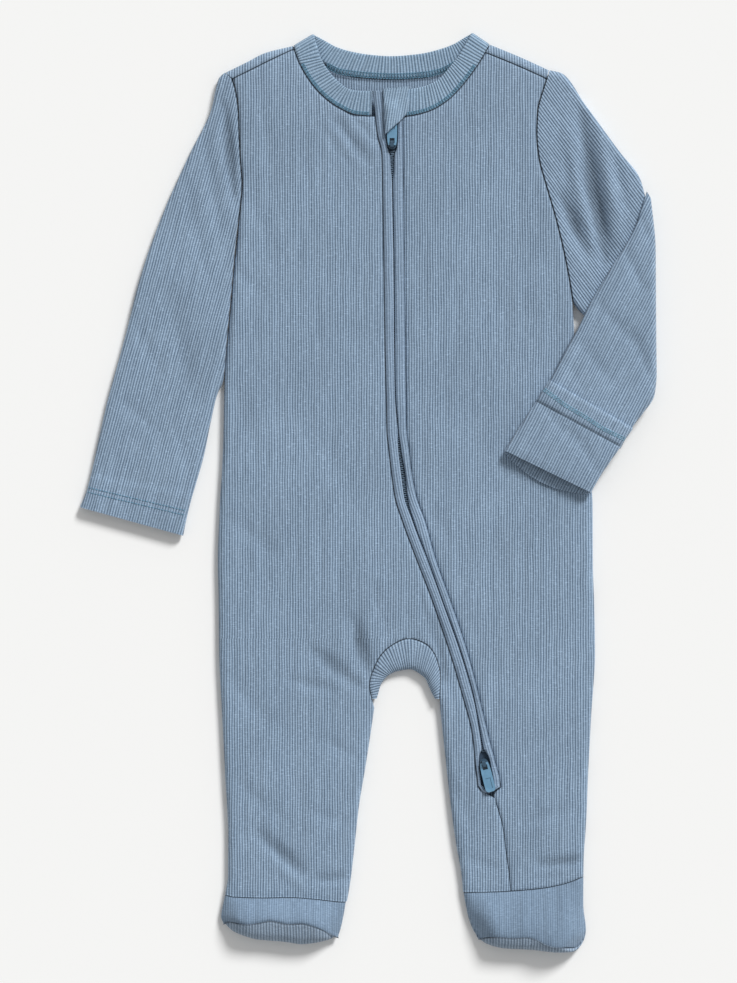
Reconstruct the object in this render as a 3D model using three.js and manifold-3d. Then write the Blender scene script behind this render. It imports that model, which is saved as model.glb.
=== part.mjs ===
import * as THREE from 'three';
import { mergeVertices } from 'three/addons/utils/BufferGeometryUtils.js';
import Module from 'manifold-3d';

// Footed baby sleepsuit in fine rib knit, laid flat on its back with the right sleeve folded over.
// Millimetres, +X to the viewer's right, +Y to the head, +Z up from the surface it lies on.

// Cloth and seams
const WALL = 1.6;
const SEAM_GAP = 0.3;
const BAND_SEAM_GAP = 0.5;
const ARMHOLE_GAP = 0.6;
const SEAM_ROLL = 0.15;
const EDGE_RADIUS = 5;
const ROLL_STEPS = [0, 0.67, 2.5, 5];

// Heights above the surface
const BODY_TOP = 7;
const SIDE_SEAM_Z = 3.5;
const SLEEVE_TOP = 6.6;
const BAND_TOP = 7.4;
const BAND_WALL = 2.4;
const STRIP_RISE = 0.9;

// Crotch
const APEX = { x: 26.5, y: -94.9 };
const GUSSET_END_Y = -134;
const CROTCH_Y = -139;

// Body outline at each height: side seams below the underarms, armhole seams above them
const BODY_EDGES = [
  { y: -262, left: -92.6, right: 139.8 },
  { y: -250, left: -90.8, right: 139.9 },
  { y: -223, left: -90.7, right: 141.3 },
  { y: -185, left: -92.6, right: 142.8 },
  { y: -146, left: -94.6, right: 144.8 },
  { y: -104, left: -96.6, right: 147.3 },
  { y: -70, left: -96.9, right: 146.7 },
  { y: -45, left: -97.4, right: 145.9 },
  { y: -10, left: -96.2, right: 145.8 },
  { y: 27, left: -94.1, right: 142.6 },
  { y: 73, left: -93, right: 138 },
  { y: 104, left: -90.5, right: 133.9 },
  { y: 123, left: -88.6, right: 132.5 },
  { y: 146, left: -86.7, right: 128.8 },
  { y: 175, left: -83.6, right: 122.2 },
  { y: 200, left: -81.3, right: 115 },
  { y: 216, left: -82.4, right: 110.7 },
  { y: 232, left: -83.2, right: 109.1 },
  { y: 247, left: -83.7, right: 109.7 },
  { y: 260, left: -85.5, right: 113 },
  { y: 268, left: -87.9, right: 115.7 },
];
const UNDERARM_END = { left: 175, right: 122.9 };
const UNDERARM = { left: { from: 160, to: 182 }, right: { from: 112, to: 130 } };

// Inner edges of the legs below the gusset
const INSEAMS = [
  { y: -139, left: 4.2, right: 46.7 },
  { y: -156, left: 1.8, right: 48.5 },
  { y: -181, left: -2.1, right: 51.2 },
  { y: -204, left: -5.9, right: 53.8 },
  { y: -228, left: -8.7, right: 57 },
  { y: -251, left: -11.6, right: 60.8 },
  { y: -266, left: -14.4, right: 62 },
];

// Ankle seams of both legs
const ANKLE = [
  { x: -92.6, y: -261 },
  { x: -87, y: -262.3 },
  { x: -68, y: -262.9 },
  { x: -50, y: -262.6 },
  { x: -36, y: -263.6 },
  { x: -14.4, y: -265.6 },
  { x: 62, y: -259.5 },
  { x: 84, y: -258.9 },
  { x: 100, y: -257.9 },
  { x: 115, y: -256.3 },
  { x: 128, y: -253.5 },
  { x: 139.8, y: -249.1 },
];
const ANKLE_LEVEL = -262;
const ANKLE_BEND_FROM = -203;

// Gusset, from its left end round the crotch: the seam to the panels and the open folded edge
const GUSSET = [
  { seamX: 2.4, seamY: -134, foldX: 5.7, foldY: -134 },
  { seamX: 0.9, seamY: -125.5, foldX: 8.9, foldY: -124 },
  { seamX: 5.6, seamY: -110.2, foldX: 14.2, foldY: -118.4 },
  { seamX: 13.2, seamY: -100.8, foldX: 19.5, foldY: -116.2 },
  { seamX: 26.5, seamY: -94.9, foldX: 27.5, foldY: -115.1 },
  { seamX: 38, seamY: -98.8, foldX: 33.5, foldY: -118 },
  { seamX: 44.7, seamY: -108.4, foldX: 37.5, foldY: -121.5 },
  { seamX: 47.1, seamY: -119.8, foldX: 40, foldY: -127.4 },
  { seamX: 46.6, seamY: -134, foldX: 43.3, foldY: -134 },
];

// Zip: its line, half the opening between the strips, and the outer edge of each strip
const ZIP = [
  { y: -200, x: 77.6, halfGap: 3.7, left: 71.5, right: 86 },
  { y: -187, x: 76.7, halfGap: 3.7, left: 71, right: 85.3 },
  { y: -176, x: 75.6, halfGap: 3.8, left: 69.7, right: 82.6 },
  { y: -171, x: 75, halfGap: 3, left: 69.3, right: 81.4 },
  { y: -166, x: 74.3, halfGap: 0.7, left: 68.9, right: 80 },
  { y: -154, x: 72.3, halfGap: 0.35, left: 67.3, right: 77 },
  { y: -133, x: 68.5, halfGap: 0.35, left: 61.8, right: 72 },
  { y: -106, x: 60.8, halfGap: 0.35, left: 53.9, right: 65 },
  { y: -70, x: 48.1, halfGap: 0.35, left: 41.8, right: 53.2 },
  { y: -44, x: 38.8, halfGap: 0.35, left: 31.9, right: 43.9 },
  { y: -19, x: 29.3, halfGap: 0.5, left: 22.6, right: 37 },
  { y: -4, x: 24.7, halfGap: 1.2, left: 17.8, right: 31.6 },
  { y: 11, x: 22.9, halfGap: 1.4, left: 15.6, right: 28.5 },
  { y: 28, x: 20.5, halfGap: 1, left: 13.6, right: 26.4 },
  { y: 40, x: 19.6, halfGap: 0.35, left: 12.4, right: 24.9 },
  { y: 64, x: 17.7, halfGap: 0.35, left: 11.9, right: 24.4 },
  { y: 99, x: 17.2, halfGap: 0.35, left: 11.1, right: 24 },
  { y: 150, x: 16.8, halfGap: 0.35, left: 10.4, right: 23.4 },
  { y: 200, x: 15.9, halfGap: 0.35, left: 9.6, right: 22.8 },
  { y: 209, x: 15.8, halfGap: 1, left: 9.4, right: 22.7 },
  { y: 218, x: 15.7, halfGap: 1.4, left: 9.2, right: 22.6 },
  { y: 223, x: 15.6, halfGap: 3, left: 8.6, right: 22.5 },
  { y: 231, x: 15.6, halfGap: 3.7, left: 6.4, right: 22.4 },
  { y: 246, x: 15.6, halfGap: 3.7, left: 4.6, right: 22.2 },
  { y: 260, x: 15.6, halfGap: 3.6, left: 2.9, right: 22.2 },
];
const STRIP_LEVEL_END = -187;

// The strips turn under the zip's lower end and meet there
const LEFT_STRIP_END = [
  { outerX: 71.9, outerY: -191, innerX: 74.3, innerY: -190.6 },
  { outerX: 74.4, outerY: -194.4, innerX: 75.9, innerY: -192.6 },
  { outerX: 77.3, outerY: -195.5, innerX: 77.3, innerY: -193.1 },
];
const RIGHT_STRIP_END = [
  { outerX: 86, outerY: -190.6, innerX: 79.6, innerY: -191 },
  { outerX: 82, outerY: -193.3, innerX: 78.7, innerY: -192.6 },
  { outerX: 77.7, outerY: -195.4, innerX: 77.7, innerY: -193.1 },
];

// Front panel edges below the zip, down the short leg seam to the ankle
const LEG_SEAM = [
  { y: -262, main: 92.3, side: 92.7 },
  { y: -251, main: 91.4, side: 91.8 },
  { y: -236, main: 89.4, side: 89.8 },
  { y: -219, main: 87.4, side: 87.8 },
  { y: -203, main: 83.3, side: 83.8 },
  { y: -196.4, main: 81, side: 81.6 },
  { y: -195.8, main: 77.5, side: 81.9 },
  { y: -194.8, main: 74.4, side: 82.3 },
  { y: -191, main: 71.5, side: 86.4 },
  { y: -187, main: 70.7, side: 85.6 },
];

// Shoulders from neck to armhole: folded top edge, seam on the front, and where the back lies flat
const SHOULDERS = {
  left: [
    { topX: -48.9, topY: 289.4, seamX: -48.2, seamY: 287.3, flatX: -44.5, flatY: 286.9 },
    { topX: -67.1, topY: 284.8, seamX: -65.3, seamY: 279.2, flatX: -65.3, flatY: 280.1 },
    { topX: -78.1, topY: 279.2, seamX: -75.8, seamY: 273.9, flatX: -75.9, flatY: 274.7 },
    { topX: -92.3, topY: 272.2, seamX: -87.9, seamY: 268, flatX: -88.7, flatY: 268.7 },
  ],
  right: [
    { topX: 79.4, topY: 290.2, seamX: 76.4, seamY: 285, flatX: 75, flatY: 287.8 },
    { topX: 98.3, topY: 282.4, seamX: 95.9, seamY: 277, flatX: 96.2, flatY: 277.8 },
    { topX: 117.3, topY: 273.7, seamX: 115.7, seamY: 268.2, flatX: 115.9, flatY: 269 },
  ],
};

// Neckband sections: the seam to the panels and the folded edge of the band
const BAND_FRONT_LEFT = [
  { seamX: 2.3, seamY: 243.4, edgeX: 2.3, edgeY: 260 },
  { seamX: -7.2, seamY: 244.1, edgeX: -4.8, edgeY: 260 },
  { seamX: -18.2, seamY: 248.5, edgeX: -11.9, edgeY: 261.1 },
  { seamX: -29.3, seamY: 256.4, edgeX: -18.2, edgeY: 265.2 },
  { seamX: -38.7, seamY: 267.4, edgeX: -26.1, edgeY: 273.7 },
  { seamX: -45, seamY: 278.5, edgeX: -30.8, edgeY: 281.6 },
];
const BAND_BACK = [
  { seamX: -29.3, seamY: 278.5, edgeX: -21.5, edgeY: 289.4 },
  { seamX: -20.5, seamY: 272.8, edgeX: -13, edgeY: 286.6 },
  { seamX: -3.9, seamY: 269.1, edgeX: 0.7, edgeY: 284.1 },
  { seamX: 15, seamY: 268.2, edgeX: 15, edgeY: 283.1 },
  { seamX: 35.1, seamY: 269.1, edgeX: 33, edgeY: 284.5 },
  { seamX: 52.7, seamY: 274.6, edgeX: 49.5, edgeY: 288.5 },
  { seamX: 63, seamY: 280.8, edgeX: 56.5, edgeY: 291.3 },
];
const BAND_FRONT_RIGHT = [
  { seamX: 71.5, seamY: 276.9, edgeX: 59, edgeY: 283.1 },
  { seamX: 62.1, seamY: 264.3, edgeX: 53, edgeY: 275.6 },
  { seamX: 51.1, seamY: 253.2, edgeX: 45, edgeY: 267 },
  { seamX: 38.4, seamY: 246.2, edgeX: 36.5, edgeY: 263 },
  { seamX: 25.9, seamY: 243.5, edgeX: 27, edgeY: 261.2 },
  { seamX: 22.6, seamY: 243.3, edgeX: 22.6, edgeY: 260.8 },
];
const BAND_PEAKS = {
  left: { seamX: -48.9, seamY: 289.4, edgeX: -35.6, edgeY: 297.4 },
  right: { seamX: 79.4, seamY: 290.2, edgeX: 67.6, edgeY: 298.2 },
};

// Chin guard, from its top to its tip
const CHIN_GUARD = [
  { leftX: 9.9, leftY: 260.8, rightX: 26.7, rightY: 262.6 },
  { leftX: 10.1, leftY: 252, rightX: 26.1, rightY: 254 },
  { leftX: 10.4, leftY: 243.1, rightX: 25.5, rightY: 246.4 },
  { leftX: 10.7, leftY: 238.5, rightX: 22.2, rightY: 241.4 },
  { leftX: 10.9, leftY: 234.2, rightX: 16.6, rightY: 236.3 },
  { leftX: 11, leftY: 231.7, rightX: 13, rightY: 232.9 },
];
const GUARD_WALL = 2.2;
const GUARD_REST_Z = 8.3;
const GUARD_OVER_PULL = 2;
const GUARD_LIFT_REACH = 4.2;
const GUARD_COLUMNS = [14.4, 16.9, 19.4, 21.2, 40];

// Left sleeve: outer edge and inner edge at matching stations from armhole to hem
const LEFT_SLEEVE = [
  { outerX: -92.6, outerY: 272, innerX: -84, innerY: 175 },
  { outerX: -96.4, outerY: 268.5, innerX: -85.2, innerY: 166 },
  { outerX: -101.4, outerY: 248.3, innerX: -86.8, innerY: 150 },
  { outerX: -115.7, outerY: 219.1, innerX: -88.6, innerY: 130 },
  { outerX: -133.3, outerY: 180.1, innerX: -91, innerY: 105 },
  { outerX: -148.2, outerY: 137.8, innerX: -93.8, innerY: 73 },
  { outerX: -158, outerY: 98.8, innerX: -98.2, innerY: 61.9 },
  { outerX: -169, outerY: 59.3, innerX: -102.7, innerY: 42.1 },
  { outerX: -175, outerY: 32.8, innerX: -106.6, innerY: 23 },
  { outerX: -182.3, outerY: 1.6, innerX: -116.5, innerY: -12 },
  { outerX: -186.9, outerY: -9.8, innerX: -119.9, innerY: -28.3 },
];
const HEM_FROM = 0.93;
const HEM_RISE = 0.5;

// Right sleeve, upper arm: from the armhole to the fold
const RIGHT_UPPER_ARM = [
  { outerX: 117.7, outerY: 273.6, innerX: 133, innerY: 122.9 },
  { outerX: 125.3, outerY: 271.8, innerX: 135.5, innerY: 119 },
  { outerX: 140.3, outerY: 252.3, innerX: 147, innerY: 109.2 },
  { outerX: 163.8, outerY: 220.2, innerX: 160, innerY: 98.2 },
  { outerX: 176.3, outerY: 204, innerX: 171.5, innerY: 88.5 },
  { outerX: 179.6, outerY: 193, innerX: 181.5, innerY: 80 },
];
// Right sleeve, forearm: from the fold to the mouth of the turned-back cuff
const RIGHT_FOREARM = [
  { leftX: 180.6, leftY: 194.6, rightX: 183.6, rightY: 189.5, low: 0.4, top: 8.4 },
  { leftX: 172.6, leftY: 170.2, rightX: 186.5, rightY: 158, low: 0.4, top: 11.5 },
  { leftX: 158.8, leftY: 147.2, rightX: 186.7, rightY: 125, low: 0.4, top: 12.6 },
  { leftX: 145, leftY: 124.2, rightX: 186.9, rightY: 96, low: 0.4, top: 12.8 },
  { leftX: 134.2, leftY: 102.7, rightX: 187.1, rightY: 76, low: 0.4, top: 12.8 },
  { leftX: 128.1, leftY: 91.9, rightX: 185.6, rightY: 62.8, low: 3, top: 13 },
  { leftX: 121.5, leftY: 78.5, rightX: 176.5, rightY: 49, low: 5.5, top: 13.4 },
  { leftX: 118, leftY: 72.2, rightX: 171, rightY: 41.8, low: 7.5, top: 13.6 },
];
const RIGHT_CUFF = [
  { leftX: 116.8, leftY: 71.6, rightX: 170.8, rightY: 40.4, low: 7.4, top: 15.8 },
  { leftX: 109.2, leftY: 59.5, rightX: 163.6, rightY: 30, low: 7.4, top: 16 },
  { leftX: 108.4, leftY: 58, rightX: 162.8, rightY: 28.4, low: 7.4, top: 15.3 },
  { leftX: 97, leftY: 40.5, rightX: 153, rightY: 14.5, low: 7.4, top: 15.4 },
  { leftX: 90.4, leftY: 30, rightX: 146.4, rightY: 3.6, low: 7.4, top: 15 },
  { leftX: 88.4, leftY: 26.8, rightX: 144.4, rightY: -0.6, low: 7.4, top: 14.2 },
];
const LAYERS_MEET_Z = 5.8;
const MOUTH_SETBACK = 4;

// Feet: seams and front edge across each foot, as a share of its width
const LEFT_FOOT = {
  sides: [
    { along: 0, left: -92.6, right: -14.4 },
    { along: 0.4, left: -94.3, right: -16 },
    { along: 0.75, left: -95.3, right: -18 },
    { along: 1, left: -93.3, right: -19.6 },
  ],
  across: [
    { share: 0, toe: -280.2, front: -280.2 },
    { share: 0.05, toe: -278.4, front: -283 },
    { share: 0.19, toe: -279.2, front: -287.2 },
    { share: 0.32, toe: -278.2, front: -290.2 },
    { share: 0.41, toe: -276.9, front: -291 },
    { share: 0.57, toe: -278.9, front: -291.7 },
    { share: 0.68, toe: -278.6, front: -292.9 },
    { share: 0.79, toe: -280.5, front: -292.4 },
    { share: 0.88, toe: -283.5, front: -291 },
    { share: 0.95, toe: -287.4, front: -290 },
    { share: 1, toe: -289.1, front: -289.1 },
  ],
};
const RIGHT_FOOT = {
  sides: [
    { along: 0, left: 62, right: 139.8 },
    { along: 0.4, left: 64.4, right: 139.7 },
    { along: 0.75, left: 68.6, right: 141.4 },
    { along: 1, left: 72, right: 136 },
  ],
  across: [
    { share: 0, toe: -289.9, front: -290 },
    { share: 0.1, toe: -288, front: -292.6 },
    { share: 0.21, toe: -287.4, front: -294.7 },
    { share: 0.34, toe: -288, front: -296 },
    { share: 0.47, toe: -287.5, front: -296.8 },
    { share: 0.57, toe: -288.9, front: -297.1 },
    { share: 0.65, toe: -291.7, front: -297.6 },
    { share: 0.74, toe: -293.8, front: -298.1 },
    { share: 0.88, toe: -294.4, front: -298.4 },
    { share: 1, toe: -295.6, front: -295.7 },
  ],
};
const FOOT_TOP = 16.2;
const TOE_CORNER_Z = 3.9;
const FOOT_ROLL = 9;
const TOE_ROUNDING = 17;
const FOOT_SEAM_GAP = 0.4;
const FOOT_SIDE_WALL = 1;
const SEAM_LEAN = 0.5;

// Largest folds pressed into the front: soft troughs and ridges between two points
const FRONT_FOLDS = [
  { fromX: -69, fromY: -223, toX: -44, toY: -246, width: 5, rise: -1.6 },
  { fromX: -33, fromY: -251, toX: -15, toY: -250, width: 3, rise: -1.2 },
  { fromX: 112, fromY: -241, toX: 137, toY: -239, width: 4, rise: -1.3 },
  { fromX: 2, fromY: -118, toX: -10, toY: -82, width: 5, rise: -1.7 },
  { fromX: -6, fromY: -126, toX: -34, toY: -104, width: 5, rise: -1.2 },
  { fromX: 49, fromY: -122, toX: 44, toY: -84, width: 4, rise: -1.2 },
  { fromX: -20, fromY: 240, toX: 0, toY: 214, width: 4, rise: -0.9 },
];
const SLEEVE_FOLDS = [
  { fromX: 139, fromY: 243, toX: 154, toY: 150, width: 6, rise: -2.4 },
  { fromX: 126, fromY: 192, toX: 142, toY: 156, width: 5, rise: -2.2 },
  { fromX: 149, fromY: 235, toX: 163, toY: 165, width: 6, rise: 1.6 },
  { fromX: 130, fromY: 236, toX: 143, toY: 165, width: 5, rise: 1.4 },
  { fromX: -93, fromY: 250, toX: -87, toY: 190, width: 4, rise: -1.8 },
  { fromX: -128, fromY: 128, toX: -112, toY: 60, width: 8, rise: -0.8 },
];

// Zip tape, sliders and pulls
const TAPE_HALF = 6.5;
const TAPE_THICK = 1.05;
const COIL_HALF = 1.9;
const COIL_RISE = 0.35;
const TAPE_DROP = 2.25;
const SLIDER_LENGTH = 9;
const SLIDER_WIDTH = 6.6;
const SLIDER_LOW = 5.45;
const SLIDER_TOP = 7.6;
const CROWN_WIDTH = 2.2;
const CROWN_TOP = 11;
const CROWN_REACH = 2.2;
const CROWN_POST = 0.9;
const PULL_Z = 8.9;
const PULL_THICK = 1.4;
const PULL_LENGTH = 18.6;
const PULL_WIDTH = 6.6;
const PULL_EYE = { from: 0.7, to: 3.9, half: 1.6 };
const PULL_RECESS = { from: 9.5, to: 16.5, half: 1.7, depth: 0.4 };
const TOP_PULL = { x: 15.6, y: 225.2, turn: 0 };
const BOTTOM_PULL = { x: 75.2, y: -175.9, turn: -Math.PI + Math.atan2(0.243, 0.97) };

// Colours
const CLOTH_COLOUR = 0x8499b1;
const STRIP_COLOUR = 0x8096b0;
const BAND_COLOUR = 0x7c94ac;
const SOLE_COLOUR = 0x7d8fa4;
const TAPE_COLOUR = 0x35506b;
const SLIDER_COLOUR = 0x4f7f9f;

const wasm = await Module();
wasm.setup();

// Smooth curve through sorted knots that doesn't overshoot them, held at both ends.
function smoothCurve(knots, values) {
  const last = knots.length - 1;
  const slopes = [];
  for (let i = 0; i < last; i++) {
    slopes.push((values[i + 1] - values[i]) / (knots[i + 1] - knots[i]));
  }
  const tangents = values.map((_, i) => {
    if (i === 0) return slopes[0];
    if (i === last) return slopes[last - 1];
    if (slopes[i - 1] * slopes[i] <= 0) return 0;
    return (2 * slopes[i - 1] * slopes[i]) / (slopes[i - 1] + slopes[i]);
  });
  return (knot) => {
    if (knot <= knots[0]) return values[0];
    if (knot >= knots[last]) return values[last];
    let i = 0;
    while (knot > knots[i + 1]) i += 1;
    const step = knots[i + 1] - knots[i];
    const t = (knot - knots[i]) / step;
    const rise = t * t * (3 - 2 * t);
    const bend = tangents[i] * t * (1 - t) * (1 - t) - tangents[i + 1] * t * t * (1 - t);
    return values[i] * (1 - rise) + values[i + 1] * rise + bend * step;
  };
}

// One column of a table as a smooth function of another column.
function column(table, key, value) {
  return smoothCurve(table.map((row) => row[key]), table.map((row) => row[value]));
}

// Several columns of a table as one path, from 0 at the first row to 1 at the last.
function pathThrough(table, columns) {
  const travelled = [0];
  for (let i = 1; i < table.length; i++) {
    const step = Math.hypot(...columns.slice(0, 2).map((name) => table[i][name] - table[i - 1][name]));
    travelled.push(travelled[i - 1] + Math.max(step, 0.01));
  }
  const total = travelled[travelled.length - 1];
  const curves = columns.map((name) => smoothCurve(travelled.map((s) => s / total), table.map((row) => row[name])));
  return (t) => curves.map((curve) => curve(t));
}

// Straight-sided path through points, by distance from 0 to 1.
function polyline(points) {
  const travelled = [0];
  for (let i = 1; i < points.length; i++) {
    travelled.push(travelled[i - 1] + Math.hypot(points[i].x - points[i - 1].x, points[i].y - points[i - 1].y));
  }
  return (t) => {
    const goal = t * travelled[travelled.length - 1];
    let i = 0;
    while (i < points.length - 2 && goal > travelled[i + 1]) i += 1;
    const part = (goal - travelled[i]) / (travelled[i + 1] - travelled[i]);
    return [mix(points[i].x, points[i + 1].x, part), mix(points[i].y, points[i + 1].y, part)];
  };
}

// A given number of equal steps shared out over the straight pieces between points.
function subdivided(points, count) {
  const pieces = points.length - 1;
  const result = [points[0]];
  for (let i = 0; i < pieces; i++) {
    const steps = Math.floor(count / pieces) + (i < count % pieces ? 1 : 0);
    for (let k = 1; k <= steps; k++) {
      result.push({ x: mix(points[i].x, points[i + 1].x, k / steps), y: mix(points[i].y, points[i + 1].y, k / steps) });
    }
  }
  return result;
}

const mix = (a, b, t) => a + (b - a) * t;
const ease = (t) => {
  const held = Math.min(1, Math.max(0, t));
  return held * held * (3 - 2 * held);
};
const spread = (count) => Array.from({ length: count + 1 }, (_, i) => i / count);
const roundness = (t) => Math.sqrt(Math.max(0, 1 - (1 - Math.min(1, t)) ** 2));

// Height that the folds add at a point.
function foldRise(folds, x, y) {
  let total = 0;
  for (const fold of folds) {
    const dx = fold.toX - fold.fromX;
    const dy = fold.toY - fold.fromY;
    const length = Math.hypot(dx, dy);
    const t = Math.min(1, Math.max(0, ((x - fold.fromX) * dx + (y - fold.fromY) * dy) / length ** 2));
    const away = Math.hypot(x - fold.fromX - dx * t, y - fold.fromY - dy * t);
    total += fold.rise * Math.exp(-((away / fold.width) ** 2)) * (0.35 + 0.65 * Math.sin(Math.PI * mix(0.12, 0.88, t)));
  }
  return total;
}
const frontTop = (x, y) => BODY_TOP + foldRise(FRONT_FOLDS, x, y);

// A sheet of cloth: paired outer and inner points, faces between them, closed along its edges.
class Cloth {
  constructor() {
    this.outer = [];
    this.inner = [];
    this.faces = [];
  }

  add(outer, inner) {
    this.outer.push(outer);
    this.inner.push(inner);
    return this.outer.length - 1;
  }

  triangle(a, b, c) {
    if (a !== b && b !== c && c !== a) this.faces.push([a, b, c]);
  }

  weave(rows, closed = false) {
    for (let i = 0; i + 1 < rows.length; i++) {
      const count = rows[i].length;
      for (let j = 0; j < (closed ? count : count - 1); j++) {
        const k = (j + 1) % count;
        this.triangle(rows[i][j], rows[i][k], rows[i + 1][k]);
        this.triangle(rows[i][j], rows[i + 1][k], rows[i + 1][j]);
      }
    }
  }

  geometry() {
    const count = this.outer.length;
    const edges = new Set(this.faces.flatMap(([a, b, c]) => [`${a},${b}`, `${b},${c}`, `${c},${a}`]));
    const faces = [];
    for (const [a, b, c] of this.faces) {
      faces.push([a, b, c], [c + count, b + count, a + count]);
      for (const [from, to] of [[a, b], [b, c], [c, a]]) {
        if (!edges.has(`${to},${from}`)) {
          faces.push([to, from, from + count], [to, from + count, to + count]);
        }
      }
    }
    return facetedGeometry([...this.outer, ...this.inner], faces);
  }
}

// Buffer geometry from points and faces, turned so that its faces point out.
function facetedGeometry(points, faces) {
  let volume = 0;
  for (const [a, b, c] of faces) {
    const [p, q, r] = [points[a], points[b], points[c]];
    volume += p[0] * (q[1] * r[2] - q[2] * r[1]) + p[1] * (q[2] * r[0] - q[0] * r[2]) + p[2] * (q[0] * r[1] - q[1] * r[0]);
  }
  const ordered = volume > 0 ? faces : faces.map(([a, b, c]) => [c, b, a]);
  const geometry = new THREE.BufferGeometry();
  geometry.setAttribute('position', new THREE.Float32BufferAttribute(points.flat(), 3));
  geometry.setIndex(ordered.flat());
  geometry.computeVertexNormals();
  return geometry;
}

function toSolid(geometry) {
  const plain = geometry.clone();
  plain.deleteAttribute('normal');
  plain.deleteAttribute('uv');
  const merged = mergeVertices(plain, 1e-4);
  return new wasm.Manifold(new wasm.Mesh({
    numProp: 3,
    vertProperties: new Float32Array(merged.attributes.position.array),
    triVerts: new Uint32Array(merged.index.array),
  }));
}

function fromSolid(solid) {
  const mesh = solid.getMesh();
  const geometry = new THREE.BufferGeometry();
  geometry.setAttribute('position', new THREE.BufferAttribute(new Float32Array(mesh.vertProperties), 3));
  geometry.setIndex(new THREE.BufferAttribute(new Uint32Array(mesh.triVerts), 1));
  geometry.computeVertexNormals();
  return geometry;
}

// Distances along a row, close together where the cloth rolls over at either end.
function rowSteps(length, startSteps, endSteps, inner) {
  const from = startSteps[startSteps.length - 1];
  const to = length - endSteps[endSteps.length - 1];
  const middle = spread(inner + 1).slice(1, -1).map((t) => mix(from, to, t));
  return [...startSteps, ...middle, ...endSteps.map((s) => length - s).reverse()];
}

// Points along a straight row, each with the end it is nearer to and its distance from that end.
function rowPoints(start, end, startSteps, endSteps, inner) {
  const length = Math.hypot(end.x - start.x, end.y - start.y);
  return rowSteps(length, startSteps, endSteps, inner).map((s) => ({
    x: mix(start.x, end.x, s / length),
    y: mix(start.y, end.y, s / length),
  }));
}

// Adds how far each point of a row is from its nearer end, and how much the cloth rolls there.
function withRolls(points, startRoll, endRoll) {
  const first = points[0];
  const last = points[points.length - 1];
  const width = Math.hypot(last.x - first.x, last.y - first.y) || 1;
  const dirX = (last.x - first.x) / width;
  const dirY = (last.y - first.y) / width;
  return points.map((point) => {
    const fromFirst = Math.hypot(point.x - first.x, point.y - first.y);
    const fromLast = Math.hypot(point.x - last.x, point.y - last.y);
    const atStart = fromFirst < fromLast;
    return {
      ...point,
      reach: atStart ? fromFirst : fromLast,
      roll: atStart ? startRoll : endRoll,
      inX: atStart ? dirX : -dirX,
      inY: atStart ? dirY : -dirY,
    };
  });
}

// Near a shoulder the front rolls over its folded top edge instead.
function shoulderRoll(point) {
  for (const rows of Object.values(SHOULDERS)) {
    for (let i = 0; i + 1 < rows.length; i++) {
      const dx = rows[i + 1].topX - rows[i].topX;
      const dy = rows[i + 1].topY - rows[i].topY;
      const t = ((point.x - rows[i].topX) * dx + (point.y - rows[i].topY) * dy) / (dx * dx + dy * dy);
      const held = Math.min(1, Math.max(0, t));
      const awayX = point.x - rows[i].topX - dx * held;
      const awayY = point.y - rows[i].topY - dy * held;
      const reach = Math.hypot(awayX, awayY);
      if (reach < EDGE_RADIUS) return { ...point, reach, roll: 1, inX: awayX / reach, inY: awayY / reach };
    }
  }
  return point;
}

// Rounded edge: how far the outside has turned up and how far the inside is pushed in.
function rolled(reach, radius) {
  const turn = Math.max(0, 1 - reach / radius);
  return { turn, lift: Math.sqrt(1 - turn * turn) };
}

function addFront(cloth, point) {
  const { x, y, reach, roll, inX, inY } = point;
  const { turn, lift } = rolled(reach, EDGE_RADIUS);
  const top = frontTop(x, y);
  const outerZ = top - roll * (top - SIDE_SEAM_Z) * (1 - lift);
  const innerZ = top - WALL - roll * (top - WALL - SIDE_SEAM_Z) * (1 - lift);
  const push = roll * WALL * turn;
  return cloth.add([x, y, outerZ], [x + inX * push, y + inY * push, innerZ]);
}

function addBack(cloth, point) {
  const { x, y, reach, roll, inX, inY } = point;
  const { turn, lift } = rolled(reach, EDGE_RADIUS);
  const edge = SIDE_SEAM_Z - SEAM_GAP;
  const push = roll * WALL * turn;
  const outerZ = roll * edge * (1 - lift);
  const innerZ = WALL + roll * (edge - WALL) * (1 - lift);
  return cloth.add([x, y, outerZ], [x + inX * push, y + inY * push, innerZ]);
}

// Outline functions
const leftEdge = column(BODY_EDGES, 'y', 'left');
const rightEdge = column(BODY_EDGES, 'y', 'right');
const inseamTable = [...INSEAMS].reverse();
const leftInseam = column(inseamTable, 'y', 'left');
const rightInseam = column(inseamTable, 'y', 'right');
const ankleAt = column(ANKLE, 'x', 'y');
const zipX = column(ZIP, 'y', 'x');
const zipHalfGap = column(ZIP, 'y', 'halfGap');
const leftStripEdge = column(ZIP, 'y', 'left');
const rightStripEdge = column(ZIP, 'y', 'right');
const mainLegSeam = column(LEG_SEAM, 'y', 'main');
const sideLegSeam = column(LEG_SEAM, 'y', 'side');
const gussetPath = pathThrough(GUSSET, ['seamX', 'seamY', 'foldX', 'foldY']);

const mainInnerX = (y) => (y > STRIP_LEVEL_END ? leftStripEdge(y) - SEAM_GAP : mainLegSeam(y));
const sideInnerX = (y) => (y > STRIP_LEVEL_END ? rightStripEdge(y) + SEAM_GAP : sideLegSeam(y));
const leftRoll = (y) => mix(1, SEAM_ROLL, ease((y - UNDERARM.left.from) / (UNDERARM.left.to - UNDERARM.left.from)));
const rightRoll = (y) => mix(1, SEAM_ROLL, ease((y - UNDERARM.right.from) / (UNDERARM.right.to - UNDERARM.right.from)));
const inseamRoll = (y) => mix(1, SEAM_ROLL, ease((y - CROTCH_Y) / (GUSSET_END_Y - CROTCH_Y)));

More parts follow.
